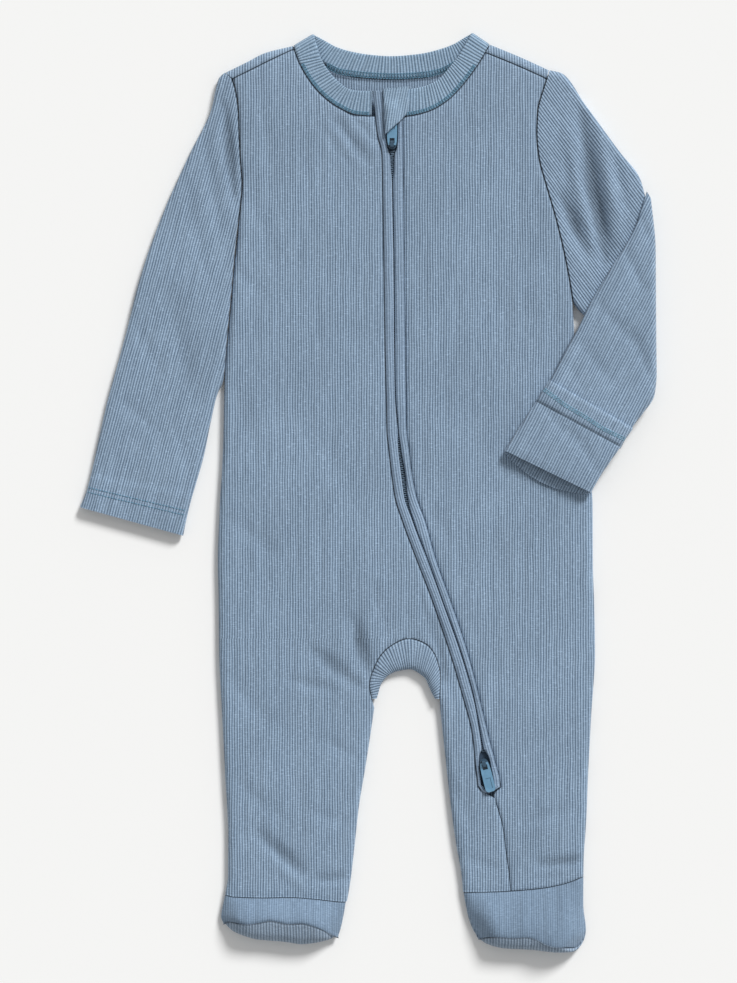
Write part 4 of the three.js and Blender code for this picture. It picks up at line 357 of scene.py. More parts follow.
class Shell:
    """Closed thin cloth made from grids of paired outer and inner points."""

    def __init__(self) -> None:
        """Start with no grid."""
        self.outer: list[Array] = []
        self.inner: list[Array] = []
        self.cloth: list[Array] = []
        self.crease_shade_depth: list[Array] = []
        self.quads: list[Array] = []
        self.count = 0

    def add(self, outer: Array, inner: Array, cloth: Array, closed: bool = False,
            crease_shade_depth: Array | None = None) -> None:
        """Add one grid.

        Args:
            outer: Points of the outside, rows by columns by 3, in millimetres.
            inner: Points of the inside.
            cloth: Distance across the ribs, along them and to the nearest seam, in millimetres.
            closed: Whether each row is a ring.
            crease_shade_depth: How deep each point lies in a crease, in millimetres, which sets painted crease shade.
        """
        self.crease_shade_depth.append(np.zeros(cloth.shape[:2]).ravel() if crease_shade_depth is None else np.maximum(crease_shade_depth, 0).ravel())
        rows, columns = outer.shape[:2]
        index = np.arange(rows * columns).reshape(rows, columns) + self.count
        right = np.roll(index, -1, axis=1)
        a, b = (index, right) if closed else (index[:, :-1], index[:, 1:])
        quads = np.stack([a[:-1], b[:-1], b[1:], a[1:]], axis=-1).reshape(-1, 4)
        self.outer.append(outer.reshape(-1, 3))
        self.inner.append(inner.reshape(-1, 3))
        self.cloth.append(cloth.reshape(-1, 3))
        self.quads.append(quads)
        self.count += rows * columns

    def build(self, name: str) -> bpy.types.Object:
        """Weld the grids, close their edges and make the mesh.

        Args:
            name: Name of the new object.

        Returns:
            The object, linked to the scene.
        """
        outer, inner, cloth, crease_shade_depth = (np.concatenate(part) for part in (self.outer, self.inner, self.cloth, self.crease_shade_depth))
        keys = np.round(outer * 500).astype(np.int64)
        _, first, back = np.unique(keys, axis=0, return_index=True, return_inverse=True)
        outer, inner, cloth, crease_shade_depth = outer[first], inner[first], cloth[first], crease_shade_depth[first]
        count = len(outer)
        faces = back.reshape(-1)[np.concatenate(self.quads)]
        p, q, r, s = (outer[faces[:, i]] for i in range(4))
        volume = np.einsum("ij,ij->i", p, np.cross(q, r) + np.cross(r, s)).sum()
        inside = faces[:, ::-1] + count
        a, b = faces.reshape(-1), np.roll(faces, -1, axis=1).reshape(-1)
        keep = a != b
        a, b = a[keep], b[keep]
        forward, backward = a * count + b, b * count + a
        open_edge = ~np.isin(forward, backward)
        a, b = a[open_edge], b[open_edge]
        rim = np.stack([b, a, a + count, b + count], axis=1)
        every = np.concatenate([faces, inside, rim])
        outward = np.einsum("ij,ij->i", outer[faces[:, 0]] - inner[faces[:, 0]],
                            np.cross(q - p, s - p)).sum()
        if outward < 0:
            every = every[:, ::-1]
        polygons = [list(dict.fromkeys(face)) for face in every.tolist()]
        polygons = [face for face in polygons if len(face) > 2]
        mesh = bpy.data.meshes.new(name)
        mesh.from_pydata(to_frame(np.concatenate([outer, inner])), [], polygons)
        attribute = mesh.attributes.new("cloth", "FLOAT_VECTOR", "POINT")
        attribute.data.foreach_set("vector", np.concatenate([cloth, cloth]).astype(np.float32).ravel())
        # Crease depth at each point, which sets painted crease shade in the knit.
        depth = mesh.attributes.new("crease_shade_depth", "FLOAT", "POINT")
        depth.data.foreach_set("value", np.concatenate([crease_shade_depth, crease_shade_depth]).astype(np.float32))
        mesh.polygons.foreach_set("use_smooth", np.ones(len(mesh.polygons), bool))
        mesh.update()
        mesh.set_sharp_from_angle(angle=math.radians(62))
        LOG.debug("%s encloses %.0f mm3", name, volume)
        return place(name, mesh)


def place(name: str, mesh: bpy.types.Mesh) -> bpy.types.Object:
    """Link a mesh to the scene as an object of the given name.

    Args:
        name: name of the piece.
        mesh: its finished mesh.

    Returns:
        The piece, linked to the scene.
    """
    piece = bpy.data.objects.new(name, mesh)
    bpy.context.scene.collection.objects.link(piece)
    return piece


class Threads:
    """Sewing threads, each a thin tube through a few points, joined into one mesh."""

    SIDES = 6

    def __init__(self) -> None:
        """Start with no thread."""
        self.points: list[Array] = []
        self.faces: list[Array] = []
        self.count = 0

    def sew(self, path: Array, width: float, height: float | None = None) -> None:
        """Add one thread.

        Args:
            path: Points of its middle line in millimetres.
            width: Its width in millimetres.
            height: Its height in millimetres, the width unless given.
        """
        tangent = np.gradient(path, axis=0)
        tangent /= np.linalg.norm(tangent, axis=1, keepdims=True)
        side = np.cross(tangent, [0.0, 0.0, 1.0])
        side /= np.maximum(np.linalg.norm(side, axis=1, keepdims=True), 1e-6)
        up = np.cross(side, tangent)
        turn = np.arange(self.SIDES) * 2 * np.pi / self.SIDES
        taper = np.ones(len(path))
        taper[[0, -1]] = 0.45
        across = 0.5 * width * taper[:, None, None] * np.cos(turn)[None, :, None] * side[:, None]
        over = 0.5 * (height or width) * taper[:, None, None] * np.sin(turn)[None, :, None] * up[:, None]
        ring = path[:, None] + across + over
        index = np.arange(len(path) * self.SIDES).reshape(len(path), self.SIDES) + self.count
        right = np.roll(index, -1, axis=1)
        walls = np.stack([index[:-1], index[1:], right[1:], right[:-1]], axis=-1).reshape(-1, 4)
        self.faces.extend(walls.tolist())
        self.faces.extend([index[0].tolist(), index[-1][::-1].tolist()])
        self.points.append(ring.reshape(-1, 3))
        self.count += len(path) * self.SIDES

    def build(self, name: str) -> bpy.types.Object:
        """Make the mesh of all threads and link it to the scene.

        Args:
            name: name of the piece.

        Returns:
            The piece of all threads.
        """
        mesh = bpy.data.meshes.new(name)
        mesh.from_pydata(to_frame(np.concatenate(self.points)), [], self.faces)
        mesh.polygons.foreach_set("use_smooth", np.ones(len(mesh.polygons), bool))
        mesh.update()
        return place(name, mesh)


class Surface:
    """Finds the height of pieces from above."""

    def __init__(self, pieces: Iterable[bpy.types.Object]) -> None:
        """Read the pieces' meshes.

        Args:
            pieces: Objects whose tops are looked for.
        """
        self.trees = []
        for piece in pieces:
            points = [vertex.co.copy() for vertex in piece.data.vertices]
            self.trees.append(BVHTree.FromPolygons(points, [list(face.vertices) for face in piece.data.polygons]))

    def lift(self, path: Array, above: float) -> Array:
        """Lay a path on the pieces.

        Args:
            path: Points x and y in millimetres.
            above: Height over the surface in millimetres.

        Returns:
            Points x, y and z in millimetres.
        """
        heights = []
        for x, y in path[:, :2]:
            start = Vector(((x + SHIFT[0]) * MM, (y + SHIFT[1]) * MM, 0.05))
            hits = [tree.ray_cast(start, Vector((0, 0, -1)))[0] for tree in self.trees]
            found = [hit.z / MM for hit in hits if hit is not None]
            heights.append(max(found) if found else math.nan)
        level = np.array(heights)
        known = ~np.isnan(level)
        level = np.interp(np.arange(len(level)), np.flatnonzero(known),
                          level[known]) if known.any() else level
        return np.column_stack([path[:, :2], level + above])


def spaced(path: Array, pitch: float) -> Array:
    """Points at even distances along a path.

    Args:
        path: Points x and y, or x, y and z.
        pitch: Wanted distance between points.

    Returns:
        Evenly spaced points that include both ends.
    """
    travelled = np.concatenate([[0.0], np.cumsum(np.linalg.norm(np.diff(path, axis=0), axis=1))])
    at = np.linspace(0, travelled[-1], max(2, int(round(travelled[-1] / pitch)) + 1))
    return np.stack([np.interp(at, travelled, path[:, i]) for i in range(path.shape[1])], axis=1)


class NodeTree:
    """Short ways to add nodes to a shader tree or group."""

    def __init__(self, tree: bpy.types.NodeTree) -> None:
        """Keep the tree that nodes go into."""
        self.tree = tree

    def node(self, kind: str, inputs: dict | None = None, **settings: object) -> bpy.types.Node:
        """Add one node.

        Args:
            kind: Node type without the ShaderNode prefix.
            inputs: Sockets by name or index, each a value or another node's output.
            settings: Properties of the node.

        Returns:
            The new node.
        """
        made = self.tree.nodes.new("ShaderNode" + kind)
        for key, value in settings.items():
            setattr(made, key, value)
        for key, value in (inputs or {}).items():
            if isinstance(value, bpy.types.NodeSocket):
                self.tree.links.new(value, made.inputs[key])
            else:
                made.inputs[key].default_value = value
        return made

    def math(self, operation: str, *values: object) -> bpy.types.NodeSocket:
        """Add a math node and return its output."""
        return self.node("Math", dict(enumerate(values)), operation=operation).outputs[0]

    def mapped(self, value: object, low: float, high: float, to_low: float,
               to_high: float) -> bpy.types.NodeSocket:
        """Rescale and clamp a value with a smooth step."""
        inputs = {0: value, 1: low, 2: high, 3: to_low, 4: to_high}
        return self.node("MapRange", inputs, interpolation_type="SMOOTHSTEP").outputs[0]

    def noise(self, vector: object, scale: float, detail: float) -> bpy.types.NodeSocket:
        """Add a noise texture and return its value."""
        inputs = {"Vector": vector, "Scale": scale, "Detail": detail, "Roughness": 0.55}
        return self.node("TexNoise", inputs).outputs["Fac"]

    def stretched(self, vector: object, x: float, y: float, z: float) -> bpy.types.NodeSocket:
        """Scale a vector by x, y and z."""
        return self.node("VectorMath", {0: vector, 1: (x, y, z)}, operation="MULTIPLY").outputs[0]


def new_group(name: str, inputs: dict[str, tuple[str, float]],
              outputs: Sequence[str]) -> tuple[NodeTree, object, object]:
    """Make an empty shader node group.

    Args:
        name: Name of the group.
        inputs: Input sockets, each with its kind and first value.
        outputs: Names of its output values.

    Returns:
        The tree, its input node and its output node.
    """
    group = bpy.data.node_groups.new(name, "ShaderNodeTree")
    for label, (kind, value) in inputs.items():
        socket = group.interface.new_socket(name=label, in_out="INPUT", socket_type="NodeSocket" + kind)
        if kind == "Float":
            socket.default_value = value
    for label in outputs:
        group.interface.new_socket(name=label, in_out="OUTPUT", socket_type="NodeSocketFloat")
    tree = NodeTree(group)
    return tree, group.nodes.new("NodeGroupInput"), group.nodes.new("NodeGroupOutput")


def rib_knit_group() -> bpy.types.NodeTree:
    """Fine rib knit with short light slubs, and a mask for painted shade in its rib valleys, from the cloth
    coordinates.

    Returns:
        The group, with outputs Height, Valley, Slub, Tone and Grain.
    """
    tree, given, result = new_group(
        "rib_knit", {"Cloth": ("Vector", 0), "Pitch": ("Float", 2.0), "Loop": ("Float", 1.25)},
        ("Height", "Valley", "Slub", "Tone", "Grain"))
    cloth = given.outputs["Cloth"]
    axes = tree.node("SeparateXYZ", {0: cloth})
    flat = tree.stretched(cloth, 1, 1, 0)
    wander = tree.math("MULTIPLY", tree.math("SUBTRACT", tree.noise(tree.stretched(flat, 0.05, 0.03, 0), 1.0, 2.0), 0.5), 1.6)
    across = tree.math("ADD", axes.outputs[0], wander)
    turn = tree.math("MULTIPLY", tree.math("DIVIDE", across, given.outputs["Pitch"]), 2 * math.pi)
    wave = tree.math("MULTIPLY_ADD", tree.math("COSINE", turn), 0.5, 0.5)
    jitter = tree.math("MULTIPLY", tree.noise(tree.stretched(flat, 0.9, 0.5, 0), 1.0, 1.0), 1.8)
    course = tree.math("MULTIPLY", tree.math("DIVIDE", axes.outputs[1], given.outputs["Loop"]), 2 * math.pi)
    loops = tree.math("MULTIPLY_ADD", tree.math("SINE", tree.math("ADD", course, jitter)), 0.5, 0.5)
    yarn = tree.noise(tree.stretched(flat, 1.6, 0.5, 0), 1.0, 3.0)
    ridge = tree.math("POWER", wave, 0.55)
    height = tree.math("ADD", ridge, tree.math("MULTIPLY", tree.math("MULTIPLY", loops, wave), 0.16))
    height = tree.math("ADD", height, tree.math("MULTIPLY", yarn, 0.3))
    # Painted shade in the rib valleys, faded in long random patches.
    rib_shade_fade = tree.mapped(tree.noise(tree.stretched(flat, 0.45, 0.06, 0), 1.0, 2.0), 0.32, 0.62, 0.72, 1.0)
    valley = tree.math("MULTIPLY", tree.math("POWER", tree.math("SUBTRACT", 1.0, wave), 1.5), rib_shade_fade)
    dash = tree.noise(tree.stretched(flat, 0.26, 1.7, 0), 1.0, 2.0)
    slub = tree.mapped(dash, 0.57, 0.72, 0.0, 1.0)
    fibre = tree.noise(tree.stretched(flat, 0.8, 2.4, 0), 1.0, 2.0)
    grain = tree.math("MULTIPLY_ADD", dash, 0.45, tree.math("MULTIPLY", fibre, 0.55))
    column = tree.noise(tree.stretched(flat, 0.55, 0.012, 0), 1.0, 1.0)
    cloudy = tree.noise(tree.stretched(flat, 0.02, 0.02, 0), 1.0, 3.0)
    tone = tree.math("MULTIPLY_ADD", column, 0.6, tree.math("MULTIPLY", cloudy, 0.4))
    made = {"Height": height, "Valley": valley, "Slub": slub, "Tone": tone, "Grain": grain}
    for label, value in made.items():
        tree.tree.links.new(value, result.inputs[label])
    return tree.tree


def knit_tone_and_crease_shade_group() -> bpy.types.NodeTree:
    """Lightness of knit from its random tone and grain, with painted shade down in a crease.

    Returns:
        The group, with output Shade.
    """
    tree, given, result = new_group(
        "knit_tone_and_painted_crease_shade", {"Tone": ("Float", 0.5), "Grain": ("Float", 0.5), "Crease Depth": ("Float", 0),
                        "Crease Shade Tone": ("Float", 0.55)}, ("Shade",))
    tone = tree.math("MULTIPLY", tree.mapped(given.outputs["Tone"], 0.3, 0.7, 0.88, 1.1),
                     tree.mapped(given.outputs["Grain"], 0.3, 0.7, 0.8, 1.18))
    # Painted crease shade: the deeper a point lies in a crease, the darker its colour.
    crease = tree.mapped(given.outputs["Crease Depth"], 0.2, 4.0, 1.0, given.outputs["Crease Shade Tone"])
    tree.tree.links.new(tree.math("MULTIPLY", tone, crease), result.inputs["Shade"])
    return tree.tree


def thread_twist_group() -> bpy.types.NodeTree:
    """Fine twist of sewing thread.

    Returns:
        The group, with outputs Twist and Share.
    """
    tree, given, result = new_group("thread_twist", {"Place": ("Vector", 0)}, ("Twist", "Share"))
    twist = tree.noise(tree.stretched(given.outputs["Place"], 900, 900, 900), 1.0, 2.0)
    tree.tree.links.new(twist, result.inputs["Twist"])
    tree.tree.links.new(tree.mapped(twist, 0.35, 0.65, 0, 1), result.inputs["Share"])
    return tree.tree


def seam_group() -> bpy.types.NodeTree:
    """Painted seam shade and sinking of cloth close to its seams, from the cloth coordinates.

    Returns:
        The group, with two outputs: the painted seam shade, and Sink.
    """
    tree, given, result = new_group(
        "seam_line", {"Cloth": ("Vector", 0), "Width": ("Float", 0.8)}, ("Seam Shade", "Sink"))
    axes = tree.node("SeparateXYZ", {0: given.outputs["Cloth"]})
    waver = tree.noise(tree.stretched(given.outputs["Cloth"], 0.4, 0.4, 0), 1.0, 2.0)
    near = tree.math("DIVIDE", axes.outputs[2],
                     tree.math("MULTIPLY", given.outputs["Width"], tree.math("ADD", waver, 0.5)))
    # Painted seam shade, strongest right at the seam.
    tree.tree.links.new(tree.mapped(near, 0.1, 1.0, 1.0, 0.0), result.inputs["Seam Shade"])
    tree.tree.links.new(tree.mapped(near, 0.2, 2.6, 1.0, 0.0), result.inputs["Sink"])
    return tree.tree


@dataclass(frozen=True)
class Knit:
    """Finish of rib knit cloth."""

    name: str
    slot: str
    # Ridge colour, then the darker colour of painted shade in the rib valleys, which also gives the painted seam
    # shade.
    light: tuple[float, float, float] = (0.315, 0.425, 0.555)
    valley_shade: tuple[float, float, float] = (0.1, 0.155, 0.235)
    pitch: float = 1.71
    loop: float = 1.2
    depth: float = 0.4
    seam_width: float = 0.6
    seam_shade_strength: float = 0.65
    slubs: float = 0.4
    # Lightness left at the bottom of a deep crease, as painted crease shade.
    crease_shade_tone: float = 0.55

    def material(self) -> bpy.types.Material:
        """Build the material.

        Returns:
            A material with ribs, slubs, painted shade in its rib valleys, creases and seams, and a soft sheen.
        """
        made = bpy.data.materials.new(self.name)
        made.use_nodes = True
        tree = NodeTree(made.node_tree)
        shader = made.node_tree.nodes["Principled BSDF"]
        cloth = tree.node("Attribute", attribute_name="cloth", attribute_type="GEOMETRY").outputs["Vector"]
        ribs = tree.node("Group", node_tree=bpy.data.node_groups["rib_knit"])
        made.node_tree.links.new(cloth, ribs.inputs["Cloth"])
        ribs.inputs["Pitch"].default_value = self.pitch
        ribs.inputs["Loop"].default_value = self.loop
        seam = tree.node("Group", node_tree=bpy.data.node_groups["seam_line"])
        made.node_tree.links.new(cloth, seam.inputs["Cloth"])
        seam.inputs["Width"].default_value = self.seam_width
        # Painted shade in the rib valleys: the darker colour mixed in by the valley mask.
        ground = tree.node("Mix", {0: ribs.outputs["Valley"], 6: (*self.light, 1),
                                   7: (*self.valley_shade, 1)}, data_type="RGBA")
        pale = tuple(min(1.0, value * 1.32 + 0.03) for value in self.light)
        slub_share = tree.math("MULTIPLY", ribs.outputs["Slub"], self.slubs)
        slubbed = tree.node("Mix", {0: slub_share, 6: ground.outputs[2], 7: (*pale, 1)}, data_type="RGBA")
        # Random tone and grain, times painted shade down in creases.
        shading = tree.node("Group", node_tree=bpy.data.node_groups["knit_tone_and_painted_crease_shade"])
        for label in ("Tone", "Grain"):
            made.node_tree.links.new(ribs.outputs[label], shading.inputs[label])
        crease_shade_depth = tree.node("Attribute", attribute_name="crease_shade_depth", attribute_type="GEOMETRY").outputs["Fac"]
        made.node_tree.links.new(crease_shade_depth, shading.inputs["Crease Depth"])
        shading.inputs["Crease Shade Tone"].default_value = self.crease_shade_tone
        toned = tree.node("VectorMath", {0: slubbed.outputs[2], 3: shading.outputs["Shade"]},
                          operation="SCALE")
        # Painted seam shade: a near-black colour mixed in close to the seams.
        seam_shade_share = tree.math("MULTIPLY", seam.outputs["Seam Shade"], self.seam_shade_strength)
        shade = tuple(value * 0.28 for value in self.valley_shade)
        colour = tree.node("Mix", {0: seam_shade_share, 6: toned.outputs[0], 7: (*shade, 1)}, data_type="RGBA")
        made.node_tree.links.new(colour.outputs[2], shader.inputs["Base Color"])
        rough = tree.mapped(ribs.outputs["Valley"], 0.0, 1.0, 0.82, 0.95)
        made.node_tree.links.new(rough, shader.inputs["Roughness"])
        height = tree.math("SUBTRACT", ribs.outputs["Height"],
                           tree.math("MULTIPLY", seam.outputs["Sink"], 0.8))
        bump = tree.node("Bump", {"Strength": 0.8, "Distance": self.depth * MM, "Height": height})
        made.node_tree.links.new(bump.outputs["Normal"], shader.inputs["Normal"])
        shader.inputs["Sheen Weight"].default_value = 0.18
        shader.inputs["Sheen Roughness"].default_value = 0.5
        shader.inputs["Specular IOR Level"].default_value = 0.18
        return made


@dataclass(frozen=True)
class Yarn:
    """Finish of sewing thread."""

    name: str
    slot: str
    colour: tuple[float, float, float]

    def material(self) -> bpy.types.Material:
        """Build the material: matt thread with a fine twist.

        Returns:
            The new material.
        """
        made = bpy.data.materials.new(self.name)
        made.use_nodes = True
        tree = NodeTree(made.node_tree)
        shader = made.node_tree.nodes["Principled BSDF"]
        place_on = tree.node("TexCoord").outputs["Object"]
        twist = tree.node("Group", node_tree=bpy.data.node_groups["thread_twist"])
        made.node_tree.links.new(place_on, twist.inputs["Place"])
        deep = tuple(value * 0.62 for value in self.colour)
        colour = tree.node("Mix", {0: twist.outputs["Share"], 6: (*deep, 1),
                                   7: (*self.colour, 1)}, data_type="RGBA")
        made.node_tree.links.new(colour.outputs[2], shader.inputs["Base Color"])
        bump = tree.node("Bump", {"Strength": 0.5, "Distance": 0.1 * MM,
                                  "Height": twist.outputs["Twist"]})
        made.node_tree.links.new(bump.outputs["Normal"], shader.inputs["Normal"])
        shader.inputs["Roughness"].default_value = 0.62
        shader.inputs["Sheen Weight"].default_value = 0.1
        return made


@dataclass(frozen=True)
class WovenTape:
    """Finish of the zip's tape."""

    name: str = "zip_tape_weave"
    slot: str = "zip_tape"
    colour: tuple[float, float, float] = (0.018, 0.036, 0.062)

    def material(self) -> bpy.types.Material:
        """Build the material: dark tape with a fine twill.

        Returns:
            The new material.
        """
        made = bpy.data.materials.new(self.name)
        made.use_nodes = True
        tree = NodeTree(made.node_tree)
        shader = made.node_tree.nodes["Principled BSDF"]
        cloth = tree.node("Attribute", attribute_name="cloth", attribute_type="GEOMETRY").outputs["Vector"]
        axes = tree.node("SeparateXYZ", {0: cloth})
        slant = tree.math("MULTIPLY", tree.math("ADD", axes.outputs[0], axes.outputs[1]), 7.5)
        twill = tree.math("MULTIPLY_ADD", tree.math("SINE", slant), 0.5, 0.5)
        pale = tuple(value * 2.2 for value in self.colour)
        colour = tree.node("Mix", {0: twill, 6: (*self.colour, 1), 7: (*pale, 1)}, data_type="RGBA")
        made.node_tree.links.new(colour.outputs[2], shader.inputs["Base Color"])
        bump = tree.node("Bump", {"Strength": 0.6, "Distance": 0.12 * MM, "Height": twill})
        made.node_tree.links.new(bump.outputs["Normal"], shader.inputs["Normal"])
        shader.inputs["Roughness"].default_value = 0.8
        return made


@dataclass(frozen=True)
class Paint:
    """Finish of the painted sliders and pulls."""

    name: str = "slider_paint"
    slot: str = "slider"
    colour: tuple[float, float, float] = (0.13, 0.28, 0.42)

    def material(self) -> bpy.types.Material:
        """Build the material: satin paint, worn a little lighter here and there.

        Returns:
            The new material.
        """
        made = bpy.data.materials.new(self.name)
        made.use_nodes = True
        tree = NodeTree(made.node_tree)
        shader = made.node_tree.nodes["Principled BSDF"]
        place_on = tree.node("TexCoord").outputs["Object"]
        cloud = tree.noise(tree.stretched(place_on, 260, 260, 260), 1.0, 3.0)
        grain = tree.noise(tree.stretched(place_on, 2400, 2400, 2400), 1.0, 2.0)
        pale = tuple(min(1, value * 1.35) for value in self.colour)
        colour = tree.node("Mix", {0: tree.mapped(cloud, 0.4, 0.7, 0, 0.5), 6: (*self.colour, 1),
                                   7: (*pale, 1)}, data_type="RGBA")
        made.node_tree.links.new(colour.outputs[2], shader.inputs["Base Color"])
        made.node_tree.links.new(tree.mapped(cloud, 0.3, 0.7, 0.3, 0.42), shader.inputs["Roughness"])
        bump = tree.node("Bump", {"Strength": 0.25, "Distance": 0.05 * MM, "Height": grain})
        made.node_tree.links.new(bump.outputs["Normal"], shader.inputs["Normal"])
        shader.inputs["Coat Weight"].default_value = 0.3
        shader.inputs["Coat Roughness"].default_value = 0.2
        return made


@dataclass
class Workroom:
    """Finishes of the sleepsuit and the rules for handing pieces to the frame."""

    def __post_init__(self) -> None:
        """Build the shared effects and every finish."""
        rib_knit_group()
        knit_tone_and_crease_shade_group()
        thread_twist_group()
        seam_group()
        finishes = (
            Knit("body_knit", "knit"),
            Knit("band_knit", "band", light=(0.31, 0.43, 0.56), valley_shade=(0.105, 0.175, 0.26),
                 pitch=2.0, depth=0.45),
            Knit("guard_knit", "band", light=(0.32, 0.44, 0.57), valley_shade=(0.13, 0.205, 0.3), pitch=1.6,
                 depth=0.35),
            Knit("binding_knit", "binding", light=(0.285, 0.385, 0.51), valley_shade=(0.135, 0.2, 0.29), pitch=1.7,
                 depth=0.3, seam_width=0.5),
            Knit("sole_knit", "sole", light=(0.3, 0.385, 0.485), valley_shade=(0.135, 0.19, 0.265),
                 pitch=1.9, depth=0.4),
            # A darker copy of the body knit: painted shade on the feet uppers, which face the light, and
            # lower-contrast ribs.
            Knit("foot_knit_shaded", "knit", light=(0.215, 0.3, 0.405), valley_shade=(0.14, 0.205, 0.295),
                 pitch=1.5, depth=0.2, slubs=0.3),
            Yarn("teal_thread", "knit", (0.13, 0.31, 0.45)),
            Yarn("pale_thread", "band", (0.24, 0.45, 0.6)),
            Yarn("coil_thread", "zip_tape", (0.13, 0.2, 0.28)),
            WovenTape(),
            Paint(),
            Paint("slider_shade", "slider", (0.03, 0.07, 0.115)),
        )
        self.materials = {finish.name: finish.material() for finish in finishes}
        self.slots = {finish.name: finish.slot for finish in finishes}

    def hand_over(self, piece: bpy.types.Object, finish: str, nodes: Sequence[str] = (),
                  body: Part = Part.SUIT) -> bpy.types.Object:
        """Dress a piece and tell the frame about it.

        Args:
            piece: The finished piece.
            finish: Name of its finish.
            nodes: Solids of the frame that it stands for.
            body: Rigid body that it moves with.

        Returns:
            The same piece.
        """
        piece.data.materials.append(self.materials[finish])
        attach(piece, body.value)
        if nodes:
            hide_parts(*nodes)
        LOG.info("%s: %d faces", piece.name, len(piece.data.polygons))
        return piece

    def repaint(self, node: str, finish: str) -> None:
        """Give a carried-over solid of the frame a better finish.

        Args:
            node: name of the solid.
            finish: name of the finish.
        """
        slots = bpy.data.objects[node].material_slots
        for slot in slots:
            slot.material = self.materials[finish]
        if not slots:
            bpy.data.objects[node].data.materials.append(self.materials[finish])


@dataclass(frozen=True)
class Net:
    """Points over one panel, with how far each is from the edge it rolls to."""

    points: Array
    reach: Array
    roll: Array
    inward: Array

    @staticmethod
    def over(points: Array, start_roll: Array, end_roll: Array) -> "Net":
        """Measure a grid of rows.

        Args:
            points: Rows by columns by 2, in millimetres.
            start_roll: How much each row rolls at its first point, from 0 to 1.
            end_roll: The same at its last point.

        Returns:
            The points with their reach, roll and inward direction.
        """
        first, last = points[:, :1], points[:, -1:]
        span = last - first
        unit = span / np.maximum(np.linalg.norm(span, axis=2, keepdims=True), 1e-6)
        from_first = np.linalg.norm(points - first, axis=2)
        from_last = np.linalg.norm(points - last, axis=2)
        at_start = from_first < from_last
        roll = np.where(at_start, np.reshape(start_roll, (-1, 1)), np.reshape(end_roll, (-1, 1)))
        inward = np.where(at_start[..., None], unit, -unit)
        return Net(points, np.minimum(from_first, from_last), roll, inward)


def even_row(start: Array, end: Array, inner: int, start_scale: Array | float = 1.0,
             end_scale: Array | float = 1.0) -> Array:
    """Straight rows of points, close together at both ends.

    Args:
        start: First point of each row, rows by 2.
        end: Last point of each row.
        inner: Even steps between the close ones.
        start_scale: How much wider the first close steps are, for each row.
        end_scale: The same for the last ones.

    Returns:
        Points, rows by columns by 2.
    """
    close = np.array([0, 0.25, 0.7, 1.3, 2.1, 3.1, 4.2, 5.5])
    length = np.linalg.norm(end - start, axis=1)
    scales = np.broadcast_to(start_scale, length.shape), np.broadcast_to(end_scale, length.shape)
    limit = length / 13.0
    rows = []
    for size, first, last, most in zip(length, *scales, limit):
        steps = steps_along(size, close * min(first, most), close * min(last, most), inner)
        rows.append(steps / size)
    share = np.stack(rows)[..., None]
    return start[:, None] + (end - start)[:, None] * share


def distance_to(points: Array, lines: Sequence[Array]) -> Array:
    """Distance from points to the nearest of several lines.

    Args:
        points: Any grid of points x and y.
        lines: Lines, each of points x and y.

    Returns:
        Distances with the shape of the grid.
    """
    best = np.full(points.shape[:-1], 1e9)
    for line in lines:
        for a, b in zip(line[:-1], line[1:]):
            span = b - a
            t = np.clip(((points - a) @ span) / max(span @ span, 1e-9), 0, 1)
            best = np.minimum(best, np.linalg.norm(points - a - t[..., None] * span, axis=-1))
    return best


def straight(*points: tuple[float, float]) -> Curve:
    """Straight-sided path through points, from 0 to 1 by distance.

    Args:
        points: corners of the path.

    Returns:
        Function from a share between 0 and 1 to a point.
    """
    corners = np.array(points, float)
    travelled = np.concatenate([[0.0], np.cumsum(np.linalg.norm(np.diff(corners, axis=0), axis=1))])
    share = travelled / travelled[-1]
    return lambda t: np.stack([np.interp(t, share, corners[:, i]) for i in range(2)], axis=-1)


